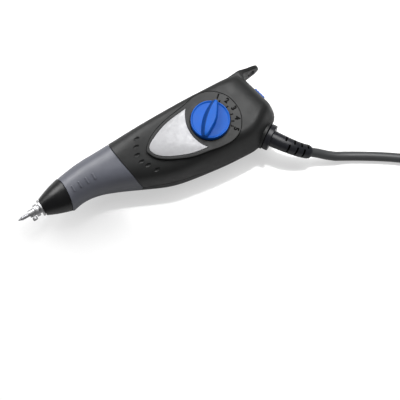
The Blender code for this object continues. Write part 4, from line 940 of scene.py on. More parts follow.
def repeated(name, unit, places, turns, look):
    """Copies of a unit at places with turns, made by Geometry Nodes.

    Places and turns are in the pen's frame; the result is one plain mesh.
    """
    mesh = bpy.data.meshes.new(name)
    mesh.from_pydata([tuple(Vector(place) + PEN) for place in places], [], [])
    turned_by = mesh.attributes.new("turn", "FLOAT_VECTOR", "POINT")
    for index, turn in enumerate(turns):
        turned_by.data[index].vector = turn
    made = linked(name, mesh)

    tree = bpy.data.node_groups.new(name + "_copies", "GeometryNodeTree")
    face = tree.interface
    face.new_socket("Geometry", in_out="INPUT", socket_type="NodeSocketGeometry")
    unit_in = face.new_socket("Unit", in_out="INPUT", socket_type="NodeSocketObject")
    size_in = face.new_socket("Size", in_out="INPUT", socket_type="NodeSocketFloat")
    look_in = face.new_socket("Finish", in_out="INPUT", socket_type="NodeSocketMaterial")
    face.new_socket("Geometry", in_out="OUTPUT", socket_type="NodeSocketGeometry")
    start = tree.nodes.new("NodeGroupInput")
    end = tree.nodes.new("NodeGroupOutput")
    info = tree.nodes.new("GeometryNodeObjectInfo")
    put = tree.nodes.new("GeometryNodeInstanceOnPoints")
    turn = tree.nodes.new("GeometryNodeInputNamedAttribute")
    turn.data_type = "FLOAT_VECTOR"
    turn.inputs["Name"].default_value = "turn"
    real = tree.nodes.new("GeometryNodeRealizeInstances")
    paint = tree.nodes.new("GeometryNodeSetMaterial")
    for source, way_out, target, way_in in (
        (start, "Geometry", put, "Points"),
        (start, "Unit", info, "Object"),
        (info, "Geometry", put, "Instance"),
        (turn, "Attribute", put, "Rotation"),
        (start, "Size", put, "Scale"),
        (put, "Instances", real, "Geometry"),
        (real, "Geometry", paint, "Geometry"),
        (start, "Finish", paint, "Material"),
        (paint, "Geometry", end, "Geometry"),
    ):
        tree.links.new(source.outputs[way_out], target.inputs[way_in])

    step = made.modifiers.new("copies", "NODES")
    step.node_group = tree
    step[unit_in.identifier] = unit
    step[size_in.identifier] = 1.0
    step[look_in.identifier] = finish[look]
    made = plain(made, SHARP)
    bpy.data.objects.remove(unit)
    return made


# Housing form


def section_point(row, angle, inset, fall=0.0):
    """Y and Z of the form's outline at an angle from the spine, and its lean."""
    _, spine, belly, half, belly_square, spine_square, draft, lean = row
    top = spine * FORM_DEPTH - inset
    bottom = belly * FORM_DEPTH + inset
    height = half * HALF_THICKNESS - inset - fall
    flat = HALF_THICKNESS - inset - fall
    middle = (top + bottom) / 2
    width = (top - bottom) / 2
    along = Vector((width * math.cos(angle), height * math.sin(angle))).normalized()
    squareness = belly_square + (spine_square - belly_square) * (1 + along.x) / 2
    rise = along.y * math.tan(draft)
    planes = (
        (1.0, along.x / width),
        (1.0, abs(along.y) / height),
        (DRAFT_WEIGHT, (rise - along.x) / width),
        (DRAFT_WEIGHT, (-rise - along.x) / width),
    )
    pull = sum(weight * max(0.0, reach) ** squareness for weight, reach in planes)
    reach = pull ** (-1 / squareness)
    y = middle + reach * along.x
    z = max(-flat, min(flat, reach * along.y))
    return y, z, lean


def section(share, inset=0.0, points=120, bowed=False):
    """The whole outline at a place along the form."""
    plain_row = smooth_row(FORM_shares, share)
    plain_x = SLEEVE_FRONT_X + share * FORM_LENGTH
    out = []
    for index in range(points):
        angle = math.tau * index / points
        row, x = joint_row(share, angle) if bowed else (plain_row, plain_x)
        y, z, lean = section_point(row, angle, inset)
        out.append((x - lean * y, y, HALF_THICKNESS + z))
    return out


def form_lean(share):
    """How far the form's outline leans back for each step towards the belly."""
    return smooth_row(FORM_shares, share)[-1]


def form_place(along, aside):
    """X and Y of a place given as shares of the form's length and depth."""
    return SLEEVE_FRONT_X + along * FORM_LENGTH, aside * FORM_DEPTH


def form_height(x, y):
    """How high the dial side is above the surface at a place."""
    share = (x - SLEEVE_FRONT_X) / FORM_LENGTH
    for _ in range(4):
        share = (x + form_lean(share) * y - SLEEVE_FRONT_X) / FORM_LENGTH
    upper = [point for point in section(share) if point[2] >= HALF_THICKNESS]
    upper.sort(key=lambda point: point[1])
    return float(np.interp(y, [point[1] for point in upper], [point[2] for point in upper]))


def cone_bow(angle):
    """How far the joint of cone and sleeve lies back of its plane, round the nose axis."""
    return CONE_BOW_TOP * abs(math.sin(angle)) - CONE_BOW_SIDE * (1 - abs(math.sin(angle)))


def joint_row(share, angle):
    """The form's row and X at an angle from the spine; its joints run in bows."""
    front = clamped(1 - abs(share) / CONE_BLEND_share)
    share += cone_bow(angle) / FORM_LENGTH * front**2
    near = clamped(1 - abs(share - JOINT_share) / JOINT_BLEND_share)
    if near > 0:
        across = math.cos(angle)
        bow = JOINT_SPINE * (1 + across) / 2 + JOINT_BELLY * (1 - across) / 2
        bow += JOINT_CROWN * abs(math.sin(angle))
        share -= bow / FORM_LENGTH * eased(near)
    return smooth_row(FORM_shares, share), SLEEVE_FRONT_X + share * FORM_LENGTH


def rear_lean(share, z):
    """How far the slanted rear wall lies forward at a height from the middle."""
    near = clamped(1 - (1 - share) / REAR_BLEND_share)
    return abs(z) * math.tan(math.radians(REAR_DRAFT)) * eased(near)


def half_ring(share, side, inset, wall, fall=0.0, points=72):
    """The outline of one shell: round the outside, and back along its inner wall.

    Without a wall the way back is straight, along the joint between the shells.
    """
    joint = GAP / 2
    edge = JOINT_EDGE
    out, inner = [], []
    for index in range(points + 1):
        angle = math.pi * index / points
        row, x = joint_row(share, angle)
        y, z, lean = section_point(row, angle, inset, fall)
        out.append((x - lean * y, y, max(z, joint + edge)))
        if wall:
            y, z, lean = section_point(row, angle, inset + wall, fall)
            inner.append((x - lean * y, y, max(z, joint)))
    for end in (0, -1):
        out[end] = (*out[end][:2], joint + edge)
    first = (out[0][0], out[0][1] - edge, joint)
    last = (out[-1][0], out[-1][1] + edge, joint)
    if not wall:
        ways = [(index + 0.5) / (points + 1) for index in range(points + 1)]
        inner = [Vector(first).lerp(last, way) for way in ways]
    ring = [first, *out, last, *reversed(inner)]
    return [(x - rear_lean(share, z), y, HALF_THICKNESS + side * z) for x, y, z in ring]


def shell_form(side):
    """One shell with a rounded rear edge, open towards the sleeve."""
    edge = JOINT_EDGE / FORM_LENGTH
    rear = REAR_ROUND / FORM_LENGTH
    dome = REAR_DOME_LENGTH / FORM_LENGTH
    drop = REAR_DOME if side > 0 else REAR_ROUND

    def rounding(share):
        inside = max(0.0, (share - 1.0) / rear + 1)
        return REAR_ROUND * (1 - math.sqrt(max(0.0, 1 - inside**2)))

    def fall(share):
        inside = max(0.0, (share - 1.0) / dome + 1)
        return drop * (1 - math.sqrt(max(0.0, 1 - (inside * REAR_DOME_share) ** 2)))

    rings = [half_ring(JOINT_share, side, JOINT_EDGE, WALL - JOINT_EDGE)]
    inner_end = 1.0 - WALL / FORM_LENGTH
    for share in np.linspace(JOINT_share + edge, inner_end, SHELL_STATIONS):
        rings.append(half_ring(share, side, rounding(share), WALL, fall(share)))
    low = math.asin(max(0.0, (inner_end - 1.0) / rear + 1))
    for step in range(REAR_STEPS + 1):
        angle = low + (math.pi / 2 - low) * step / REAR_STEPS
        share = max(inner_end + edge / 4, 1.0 - rear * (1 - math.sin(angle)))
        rings.append(half_ring(share, side, rounding(share), 0.0, fall(share)))
    return lofted(rings)


# Housing shells


def from_dial(shares):
    """Places in X and Y that are given as shares of the panel's reach from the dial."""
    return [(DIAL_X + a * PANEL_LENGTH, DIAL_Y + b * PANEL_DEPTH) for a, b in shares]


def panel_outline():
    """The raised panel round the dial and the plate."""
    return smooth_path(from_dial(PANEL_shares), PANEL_STEPS, closed=True)


def plate_outline():
    """The name plate: a smooth nose, and a bowed end that faces the dial."""
    outline = smooth_path(from_dial(PLATE_shares), PLATE_STEPS)
    start, end = Vector(outline[-1]), Vector(outline[0])
    half = (start - end).length / 2
    radius = (half**2 + PLATE_BOW**2) / (2 * PLATE_BOW)
    middle = (start + end) / 2
    inward = Vector((start.y - end.y, end.x - start.x)).normalized()
    centre = middle - inward * (radius - PLATE_BOW) * math.copysign(1, -inward.x)
    if (centre - middle).x < 0:
        centre = 2 * middle - centre
    span = math.asin(half / radius)
    facing = math.atan2((middle - centre).y, (middle - centre).x)
    for step in range(1, PLATE_BOW_STEPS):
        angle = facing - span + 2 * span * step / PLATE_BOW_STEPS
        x, y = centre.x + radius * math.cos(angle), centre.y + radius * math.sin(angle)
        outline.append(np.array((x, y)))
    return outline


def tab_form():
    """The hanging tab, whole, with a filleted root and soft edges."""
    lean = form_lean(1.0)
    under = TAB_TOP - TAB_THICKNESS
    wall = SLEEVE_FRONT_X + FORM_LENGTH - lean * (under - TAB_FILLET)
    start = TAB_END_X - TAB_REACH
    stations = [
        (start - TAB_ROOT, under - 2 * TAB_FILLET, TAB_TOP - TAB_SINK),
        (wall - TAB_SINK, under - 2 * TAB_FILLET, TAB_TOP - TAB_SINK / 4),
    ]
    for step in range(TAB_ROOT_STEPS + 1):
        angle = math.pi / 2 * step / TAB_ROOT_STEPS
        x = wall + TAB_FILLET * (1 - math.cos(angle))
        stations.append((x, under - TAB_FILLET * (1 - math.sin(angle)), TAB_TOP))
    first = stations[-1][0]
    for step in range(1, TAB_STEPS + 1):
        share = math.sin(math.pi / 2 * step / TAB_STEPS) * TAB_END_share
        x = first + share * (TAB_END_X - first)
        stations.append((x, under + share**2 * TAB_EDGE / 2, TAB_TOP))
    rings = []
    for x, low, top in stations:
        ahead = max(0.0, (x - start) / TAB_REACH)
        flare = max(0.0, 1 - ahead / TAB_NARROW_share) ** 2
        wide = TAB_HALF_WIDTH + (TAB_ROOT_HALF - TAB_HALF_WIDTH) * flare
        half = wide * max(0.0, 1 - ahead**TAB_SQUARE) ** (1 / TAB_SQUARE)
        thick = (top - low) / 2
        edge = min(TAB_EDGE * TAB_SOFT, half * TAB_THIN_share, thick * TAB_THIN_share)
        ring = []
        for y, z in soft_rectangle(thick, half, edge, (low + top) / 2):
            back = rear_lean(1.0, z) * max(0.0, 1 - ahead**2)
            ring.append((x - back, y, HALF_THICKNESS + z))
        rings.append(ring)
    return lofted(rings)


def relief_place():
    """Its X axis points out of the housing at the strain relief."""
    return placed((RELIEF_X, RELIEF_Y, HALF_THICKNESS), RELIEF_ANGLE)


def switch_place():
    """Its X axis points out of the rear wall, at the middle of the switch's slot."""
    lean = form_lean(1.0)
    x = SLEEVE_FRONT_X + FORM_LENGTH - lean * SWITCH_Y
    turn = Matrix.Rotation(math.atan(lean), 4, "Z")
    return Matrix.Translation((x, SWITCH_Y, HALF_THICKNESS)) @ turn


def screw_places():
    """X and Y of the screws that hold the shells."""
    return [form_place(along, aside) for along, aside in SCREW_shares]


def make_shell(name, side, node):
    """One half of the housing with all that is cut into it."""
    body = piece(name, shell_form(side), "housing")
    relief = relief_place()
    pad = stepped(-RELIEF_PAD - OVERRUN, RELIEF_FLANGE_RADIUS + RELIEF_PAD_EDGE, 0)
    steps = [add("tab", tab_form()), add("pad", turned(rounded(pad, PAD_SOFT)), relief)]
    if side > 0:
        panel = prism(panel_outline(), FACE - PANEL_FLOOR, PANEL_TOP, PANEL_EDGE)
        boss = upright(rod(0, BOSS_DEPTH, BOSS_RADIUS), (DIAL_X, DIAL_Y, FACE - BOSS_DEPTH))
        steps += [add("panel", panel), add("boss", boss)]
    behind = RELIEF_PAD + RELIEF_INNER_LENGTH + 2 * OVERRUN
    bore = rod(-behind - OVERRUN, OVERRUN, RELIEF_NECK_RADIUS + GAP)
    half, wide = (SLIDER_LENGTH + SWITCH_TRAVEL) / 2 + GAP, SLIDER_WIDTH / 2 + GAP
    slot = block((-WALL - OVERRUN * 2, -half, -wide), (OVERRUN * 2, half, wide))
    steps += [cut("bore", bore, relief), cut("eye", eye_form()), cut("slot", slot, switch_place())]
    steps += dial_side_cuts() if side > 0 else screw_seats()
    low = -FAR if side > 0 else HALF_THICKNESS - JOINT_CUT
    high = HALF_THICKNESS + JOINT_CUT if side > 0 else FACE + FAR
    steps.append(cut("away", block((-FAR, -2 * FAR, low), (4 * FAR, 2 * FAR, high))))
    return hold(carve(body, steps), "housing", "shell", node)


def eye_form():
    """The tab's eye, as a block with rounded corners seen from above."""
    half = Vector((EYE_LENGTH / 2, TAB_THICKNESS * 2, EYE_WIDTH / 2))
    middle = Vector((EYE_MIDDLE_X, TAB_TOP, HALF_THICKNESS))
    eye = block(middle - half, middle + half)
    across = [
        edge for edge in eye.edges if abs((edge.verts[0].co - edge.verts[1].co).y) > OVERRUN
    ]
    bmesh.ops.bevel(
        eye, geom=across, offset=EYE_LENGTH / 3, segments=EYE_STEPS, profile=0.5, affect="EDGES"
    )
    return eye


def dial_side_cuts():
    """The plate's seat, the dial's well and stem hole, and the finger dimples."""
    seat = prism(grown(plate_outline(), GAP), PANEL_TOP - PLATE_SEAT, FACE + FAR)
    well = turned(rounded(stepped(0, DIAL_RADIUS + RUN + GAP, FAR), GAP), WIDE_SIDES)
    hole = rod(0, FAR, STEM_RADIUS + GAP)
    steps = [
        cut("seat", seat),
        cut("well", upright(well, (DIAL_X, DIAL_Y, PANEL_TOP - DIAL_SEAT))),
        cut("stem", upright(hole, (DIAL_X, DIAL_Y, FACE - BOSS_DEPTH - OVERRUN))),
    ]
    for number, (a, b) in enumerate(DIMPLE_shares, 1):
        x, y = form_place(a, b)
        dimple = bmesh.new()
        size = Matrix.Diagonal((DIMPLE_LENGTH, DIMPLE_WIDTH, 2 * DIMPLE_HEIGHT, 1))
        bmesh.ops.create_uvsphere(
            dimple, u_segments=DIMPLE_SIDES, v_segments=DIMPLE_RINGS, radius=0.5, matrix=size
        )
        place = (x, y, form_height(x, y) + DIMPLE_HEIGHT - DIMPLE_DEPTH)
        steps.append(cut(f"dimple_{number}", moved(dimple, place)))
    return steps


def screw_seats():
    """A boss, a sunk seat and a hole for each screw of the back shell."""
    steps = []
    for number, (x, y) in enumerate(screw_places(), 1):
        boss = rod(0, HALF_THICKNESS - GAP, SCREW_BOSS_RADIUS, SMALL_SIDES)
        sunk = rod(0, SCREW_SEAT + OVERRUN, SCREW_HEAD_RADIUS + GAP, SMALL_SIDES)
        hole = rod(0, HALF_THICKNESS + OVERRUN, SCREW_RADIUS + GAP, HOLE_SIDES)
        steps += [
            add(f"screw_boss_{number}", upright(boss, (x, y, SCREW_SEAT / 2))),
            cut(f"seat_{number}", upright(sunk, (x, y, -OVERRUN))),
            cut(f"hole_{number}", upright(hole, (x, y, 0))),
        ]
    return steps


# Dial


def picture_angle(degrees):
    """World angle of a direction given clockwise from the picture's vertical."""
    right = math.sin(math.radians(degrees))
    up = math.cos(math.radians(degrees)) / math.sin(math.radians(VIEW_HEIGHT))
    along = Vector((math.cos(math.radians(VIEW_TURN)), math.sin(math.radians(VIEW_TURN))))
    away = Vector((-along.y, along.x))
    way = along * right + away * up
    return math.atan2(way.y, way.x)


def dial_form():
    """Stem and dished disc, drawn along X and stood up."""
    top = DIAL_THICKNESS
    profile = [
        (-STEM_LENGTH, 0),
        (-STEM_LENGTH, STEM_RADIUS),
        (0, STEM_RADIUS),
        (0, DIAL_RADIUS),
        (top, DIAL_RADIUS),
        (top, DIAL_RADIUS - DIAL_RIM),
        (top - DIAL_DISH, DIAL_RADIUS - DIAL_RIM - DIAL_DISH),
        (top - DIAL_DISH, 0),
    ]
    return upright(turned(rounded(profile, DIAL_CROWN / 2, 4), DIAL_SIDES))


def ridge_form():
    """The grip ridge: a steep flank, a lens-shaped top and a short far flank."""
    rings = []
    floor = DIAL_THICKNESS - DIAL_DISH
    low = floor - OVERRUN / 2
    crest = DIAL_THICKNESS + RIDGE_RISE
    for step in range(RIDGE_STATIONS + 1):
        share = -1 + 2 * step / RIDGE_STATIONS
        _, left, top_left, top_right, right = smooth_row(RIDGE_rows, share)
        x = share * (DIAL_RADIUS - DIAL_RIM / 2)
        high = floor + (crest - floor) * (1 - RIDGE_END_share * abs(share) ** RIDGE_END_POWER)
        line = [
            (left, low),
            (left, floor),
            *((top_left + RIDGE_EDGE * a, high + RIDGE_EDGE * b) for a, b in CREST_left),
            ((top_left + top_right) / 2, high + RIDGE_EDGE * CREST_SWELL),
            *((top_right + RIDGE_EDGE * a, high + RIDGE_EDGE * b) for a, b in CREST_right),
            ((top_right + right) / 2, (high + floor) / 2),
            (right, floor),
            (right, low),
        ]
        rings.append([(x, -y, z) for y, z in line])
    return lofted(rings)


def make_dial():
    """Dial and ridge as one piece; the ridge's far flank, turned away from the key lamp, gets a
    darker copy of the dial's blue as painted shade.
    """
    place = Matrix.Translation((DIAL_X, DIAL_Y, PANEL_TOP - DIAL_SEAT + GAP))
    knob = piece("dial_knob", dial_form(), "dial_blue", place)
    ridge_place = place @ placed((0, 0, 0), RIDGE_REST)
    ridge = piece("ridge", ridge_form(), place=ridge_place)
    limit = upright(rod(-FAR, FAR, DIAL_RADIUS - DIAL_RIM / 3, DIAL_SIDES))
    ridge = carve(ridge, [("INTERSECT", piece("limit", limit, place=place))])
    knob = carve(knob, [("UNION", ridge)], RIDGE_SHARP)
    # Painted shade on the ridge's far flank, which faces away from the key lamp
    knob.data.materials.append(finish["dial_shade"])
    into = (Matrix.Translation(PEN) @ ridge_place).inverted()
    floor = DIAL_THICKNESS - DIAL_DISH + RIDGE_EDGE / 2
    for face in knob.data.polygons:
        here, way = into @ face.center, into.to_3x3() @ face.normal
        if here.z > floor and way.y > RIDGE_FACING and abs(here.y) < RIDGE_WIDTH:
            face.material_index = 1
    hold(knob, "dial", "dial_blue", "stroke_dial")


def scale_place(degrees, radius):
    """A place on the panel round the dial, and its direction from the dial's middle."""
    way = picture_angle(degrees)
    return (DIAL_X + radius * math.cos(way), DIAL_Y + radius * math.sin(way), PANEL_TOP), way


def make_scale(look):
    """Digits and ticks round the dial, as thin inlays on the panel."""
    for digit, angle in zip("12345", DIGIT_angles):
        curve = bpy.data.curves.new("digit_" + digit, "FONT")
        curve.body = digit
        curve.size = look.digit_height * FONT_SIZE
        curve.align_x = curve.align_y = "CENTER"
        curve.extrude = INLAY / 2
        curve.offset = DIGIT_WEIGHT
        curve.resolution_u = CURVE_STEPS
        made = plain(linked("digit_" + digit, curve))
        place, way = scale_place(angle, DIGIT_RADIUS)
        turn = Matrix.Rotation(way - math.pi / 2, 4, "Z")
        made.data.transform(Matrix.Translation(Vector(place) + PEN) @ turn)
        made.data.materials.clear()
        made.data.materials.append(finish["digit_black"])
        hold(made, "housing", "shell")
    half = Vector((TICK_LENGTH / 2, TICK_WIDTH / 2, INLAY / 2))
    unit = unit_of("tick_unit", soft_block(-half, half, INLAY / 4, 1))
    spots = [scale_place(angle, TICK_RADIUS) for angle in TICK_angles]
    places, turns = [place for place, _ in spots], [(0, 0, way) for _, way in spots]
    hold(repeated("dial_ticks", unit, places, turns, "digit_black"), "housing", "shell")


def make_panel_line():
    """A dark line round the panel, sunk in its joint with the shell, as painted shade of the
    joint's groove.
    """
    low = PANEL_TOP - PANEL_FLOOR / 2
    inner, outer = panel_outline(), grown(panel_outline(), PANEL_LINE)
    loops = ((inner, low), (inner, PANEL_TOP), (outer, PANEL_TOP), (outer, low))
    shape = lofted([[(x, y, z) for x, y in outline] for outline, z in loops], closed=True)
    hold(piece("panel_line", shape, "digit_black"), "housing", "shell")


def make_plate():
    """The bare silver plate with a soft rim."""
    z = PANEL_TOP - PLATE_SEAT + GAP
    shape = prism(plate_outline(), z, z + PLATE_THICKNESS, PLATE_EDGE)
    hold(piece("silver_plate", shape, "plate_silver"), "housing", "name_plate", "name_plate")


# Sleeve, nose and plunger front


def make_sleeve():
    """The sleeve with the lip that enters the shells, and its grip ribs."""
    edge = JOINT_EDGE / FORM_LENGTH
    end = JOINT_share - GAP / FORM_LENGTH
    stations = [(0.0, JOINT_EDGE)]
    stations += [(share, 0.0) for share in np.linspace(edge, end - edge, SLEEVE_STATIONS)]
    stations += [(end, JOINT_EDGE), (end + GAP * SLEEVE_LAP / FORM_LENGTH, JOINT_EDGE + GAP)]
    skin = lofted([section(share, inset, bowed=True) for share, inset in stations])
    body = piece("grip", skin, "grip")
    lip_share = LIP_LENGTH / FORM_LENGTH
    lips = np.linspace(end - lip_share, end + lip_share, LIP_STATIONS)
    lip = lofted([section(share, WALL + GAP, bowed=True) for share in lips])
    hollows = []
    front = -SPIGOT_LENGTH / FORM_LENGTH
    for share in np.linspace(front, end + 2 * lip_share, HOLLOW_STATIONS):
        near = clamped((share - end) / lip_share / 2 + LIP_LEAD)
        hollows.append(section(share, WALL + near * (GAP + LIP_WALL), bowed=True))
    body = carve(body, [add("lip", lip), cut("hollow", lofted(hollows))])
    hold(body, "housing", "grip", "grip_sleeve")
    low = (-RIB_WIDTH / 2, -RIB_LENGTH / 2, -RIB_PROUD * 2)
    high = (RIB_WIDTH / 2, RIB_LENGTH / 2, RIB_PROUD)
    unit = unit_of("rib_unit", soft_block(low, high, RIB_PROUD * RIB_SOFT_share, 4))
    places, turns = [], []
    y = RIB_SIDE_share * FORM_DEPTH
    for share in RIB_shares:
        x = SLEEVE_FRONT_X + share * FORM_LENGTH + RIB_SHIFT
        rise = form_height(x + OVERRUN, y) - form_height(x - OVERRUN, y)
        roll = form_height(x, y + OVERRUN) - form_height(x, y - OVERRUN)
        places.append((x, y, form_height(x, y)))
        turns.append((math.atan2(roll, 2 * OVERRUN), -math.atan2(rise, 2 * OVERRUN), 0))
    hold(repeated("grip_ribs", unit, places, turns, "grip"), "housing", "grip")


def make_nose():
    """The cone, whose rear rim follows the sleeve's bow, and the chrome ring."""
    rear = SLEEVE_FRONT_X - GAP
    skin = []
    for share in (step / CONE_STATIONS for step in range(CONE_STATIONS + 1)):
        radius = CONE_FRONT_RADIUS + share * (CONE_REAR_RADIUS - CONE_FRONT_RADIUS)
        radius += CONE_SWELL * math.sin(math.pi * share)
        skin.append((CONE_FRONT_X + share * (rear - CONE_FRONT_X), radius))
    _, spine, *_ = smooth_row(FORM_shares, 0)
    spigot = spine * FORM_DEPTH - WALL - 2 * GAP
    bush_front = CONE_FRONT_X + RING_TUBE + SEAT_WIDTH
    inside = [
        (rear, spigot),
        (rear + SPIGOT_LENGTH, spigot),
        (rear + SPIGOT_LENGTH, BUSH_RADIUS + GAP),
        (bush_front, BUSH_RADIUS + GAP),
        (bush_front, CONE_BORE_RADIUS),
        (CONE_FRONT_X, CONE_BORE_RADIUS),
    ]
    shape = turned(rounded([inside[-1], *skin, *inside], GAP)[1:], WIDE_SIDES)
    for vertex in shape.verts:
        near = clamped((vertex.co.x - rear) / CONE_BLEND + 1)
        vertex.co.x += cone_bow(math.atan2(vertex.co.z, vertex.co.y)) * near**2
    place = Matrix.Translation((0, CONE_AXIS_Y, HALF_THICKNESS))
    hold(piece("cone", shape, "nose_gloss", place), "housing", "nose", "nose_cone")
    back = CONE_FRONT_X - GAP
    tube_radius = CONE_BORE_RADIUS - GAP
    bore = ROD_RADIUS + 2 * GAP
    outer = CONE_FRONT_RADIUS - GAP
    profile = [
        (back + RING_TUBE, bore),
        (back - RING_FLANGE, bore),
        (back - RING_FLANGE, outer),
        (back, outer),
        (back, tube_radius),
        (back + RING_TUBE, tube_radius),
    ]
    shape = turned(rounded(profile, RING_FLANGE / 4, 4))
    hold(piece("front_ring", shape, "chrome", NOSE_AXIS), "housing", "chrome", "nose_ring")


def make_plunger():
    """The rod with its head, and the clamp screw and point that it holds."""
    profile = stepped(
        ROD_FRONT_X, ROD_FRONT_RADIUS,
        ROD_HEAD_X, ROD_HEAD_RADIUS,
        ROD_HEAD_X + ROD_HEAD_LENGTH, ROD_RADIUS,
        SHOULDER_X, SHOULDER_RADIUS,
        SHOULDER_X + SHOULDER_LENGTH, ROD_RADIUS,
        ARMATURE_X - GAP, ROD_END_RADIUS,
        ARMATURE_X + ARMATURE_LENGTH - GAP,
    )
    striker = piece("striking_rod", turned(rounded(profile, GAP)), "chrome", NOSE_AXIS)
    socket = rod(-OVERRUN, POINT_LENGTH + GAP, POINT_RADIUS + GAP, SMALL_SIDES)
    cross = rod(0, FAR, CLAMP_SCREW_RADIUS + GAP, HOLE_SIDES)
    cross_place = placed((CLAMP_SCREW_X, 0, HALF_THICKNESS), -90)
    steps = [cut("socket", socket, NOSE_AXIS), cut("cross", cross, cross_place)]
    hold(carve(striker, steps), "plunger", "steel", "chuck_rod")
    point = [
        (0, 0),
        (0, POINT_FLAT / 2),
        (POINT_FLAT / 4, POINT_FLAT),
        (POINT_CONE, POINT_RADIUS),
        (POINT_LENGTH, POINT_RADIUS),
        (POINT_LENGTH, 0),
    ]
    shape = turned(rounded(point, POINT_FLAT), POINT_SIDES)
    tip = piece("striking_point", shape, "carbide", NOSE_AXIS)
    hold(tip, "point", "carbide", "engraving_point")
    reach = CLAMP_REACH + CLAMP_HEAD_LENGTH
    profile = stepped(
        POINT_RADIUS + 2 * GAP, CLAMP_SCREW_RADIUS, CLAMP_REACH, CLAMP_HEAD_RADIUS, reach
    )
    shape = turned(rounded(profile, GAP), SMALL_SIDES)
    screw = piece("point_screw", shape, "steel", cross_place)
    third = CLAMP_SCREW_RADIUS / 3
    slit = block((CLAMP_REACH + CLAMP_HEAD_LENGTH / 2, -FAR, -third), (FAR, FAR, third))
    screw = carve(screw, [cut("slit", slit, cross_place)])
    hold(screw, "clamp_screw_body", "steel", "clamp_screw")


# Switch, screws and strain relief


def make_switch():
    """The slider with its cross ribs."""
    place = switch_place() @ Matrix.Translation((0, SWITCH_TRAVEL / 2, 0))
    half, wide = SLIDER_LENGTH / 2, SLIDER_WIDTH / 2
    lap = SLIDER_LAP + GAP
    back = -WALL - GAP
    top = SLIDER_PROUD * SLIDER_CAP_share
    cap = soft_block((back - SLIDER_FLANGE / 2, -half, -wide), (top, half, wide), GAP, 2)
    slider = piece("slider", cap, "dial_blue", place)
    flange = block((back - SLIDER_FLANGE, -half - lap, -wide - lap), (back, half + lap, wide + lap))
    steps = [add("flange", flange, place)]
    thin = SLIDER_LENGTH / SLIDER_RIBS * SLIDER_RIB_share
    for number in range(SLIDER_RIBS):
        y = -half + SLIDER_LENGTH * (number + 0.5) / SLIDER_RIBS
        low, high = (-OVERRUN / 2, y - thin, -wide + GAP), (SLIDER_PROUD, y + thin, wide - GAP)
        steps.append(add(f"slider_rib_{number}", soft_block(low, high, GAP / 2, 2), place))
    hold(carve(slider, steps), "slider", "dial_blue", "switch_slider")


def make_screws():
    """The four screws of the back shell, one mesh made from one screw."""
    end = SCREW_LENGTH - GAP
    profile = stepped(-SCREW_HEAD_LENGTH, SCREW_HEAD_RADIUS, 0, SCREW_RADIUS, end)
    unit = unit_of("screw_unit", upright(turned(rounded(profile, GAP), SMALL_SIDES)))
    reach = SCREW_HEAD_RADIUS * SLOT_share
    steps = []
    for turn in (0, 90):
        low = (-reach, -SLOT_WIDTH / 2, -FAR)
        high = (reach, SLOT_WIDTH / 2, SLOT_DEPTH - SCREW_HEAD_LENGTH)
        slot = unit_of(f"cross_{turn}", moved(block(low, high), turn=turn))
        steps.append(("DIFFERENCE", slot))
    unit = carve(unit, steps)
    places = [(x, y, SCREW_SEAT - GAP) for x, y in screw_places()]
    numbers = range(len(places))
    turns = [(0, 0, math.radians(SCREW_TURN + SCREW_TURN_STEP * number)) for number in numbers]
    screws = repeated("housing_screws", unit, places, turns, "screw_steel")
    names = [f"shell_screw_{number + 1}" for number in numbers]
    hold(screws, "housing", "steel", *names)


def relief_path(steps):
    """Centre line of the boot: straight at its root, bending over and down."""
    path = [Vector((0, 0, 0))]
    step = RELIEF_LENGTH / RELIEF_STEPS
    for number in range(RELIEF_STEPS):
        share = (number + 0.5) / RELIEF_STEPS
        side = math.radians(RELIEF_BEND) * share**RELIEF_EASE
        down = math.radians(RELIEF_DROP) * min(1.0, RELIEF_EARLY * share) ** RELIEF_EASE
        level = math.cos(down)
        ahead = Vector((math.cos(side) * level, math.sin(side) * level, -math.sin(down)))
        path.append(path[-1] + ahead * step)
    return [Vector(point) for point in smooth_path(path, steps)]


def boot_end():
    """Where the cord leaves the boot, and its direction, in the relief's frame."""
    path = relief_path(1)
    ahead = (path[-1] - path[-2]).normalized()
    return BOOT_START + path[-1] + ahead * GAP, ahead


def make_boot():
    """Flange, neck and the tapered boot with its flexing slots."""
    place = relief_place()
    back = -RELIEF_PAD - GAP
    profile = stepped(
        back - RELIEF_INNER_LENGTH, RELIEF_INNER_RADIUS,
        back, RELIEF_NECK_RADIUS,
        GAP, RELIEF_FLANGE_RADIUS,
        RELIEF_FLANGE_LENGTH,
    )
    shape = turned(rounded(profile, RELIEF_PAD_EDGE, 4))
    body = piece("cord_boot", shape, "boot_rubber", place)
    path = [BOOT_START + point for point in relief_path(4)]
    spread = RELIEF_ROOT_RADIUS - BOOT_END_RADIUS
    count = len(path) - 1
    radii = [
        RELIEF_ROOT_RADIUS - spread * (index / count) ** RELIEF_TAPER
        for index in range(count + 1)
    ]
    for index in range(BOOT_END_STEPS):
        radii[-1 - index] -= RELIEF_PAD_EDGE * (1 - index / BOOT_END_STEPS) ** 2
    steps = [add("boot", swept(path, radii, SMALL_SIDES), place)]
    beyond = 2 * RELIEF_ROOT_RADIUS
    for number, share in enumerate(np.linspace(*RELIEF_SLOT_shares, RELIEF_SLOTS)):
        index = round(count * share)
        ahead = (path[index + 1] - path[index - 1]).normalized()
        turn = Matrix((ahead, *sides_of(ahead))).transposed().to_4x4()
        here = Matrix.Translation(path[index]) @ turn
        side = 1 if number % 2 == 0 else -1
        low, high = sorted((side * radii[index] * RELIEF_CORE_share, side * beyond))
        for half in (1, -1):
            web, top = sorted((half * radii[index] * RELIEF_WEB_share, half * beyond))
            slit = block((-RELIEF_SLOT / 2, low, web), (RELIEF_SLOT / 2, high, top))
            steps.append(cut(f"flex_{number}_{half}", slit, place @ here))
    body = carve(body, steps)
    # Painted shade inside the flexing slots
    paint_slot_shade(body, path, radii, (Matrix.Translation(PEN) @ place).inverted())
    hold(body, "housing", "boot_rubber", "strain_relief")


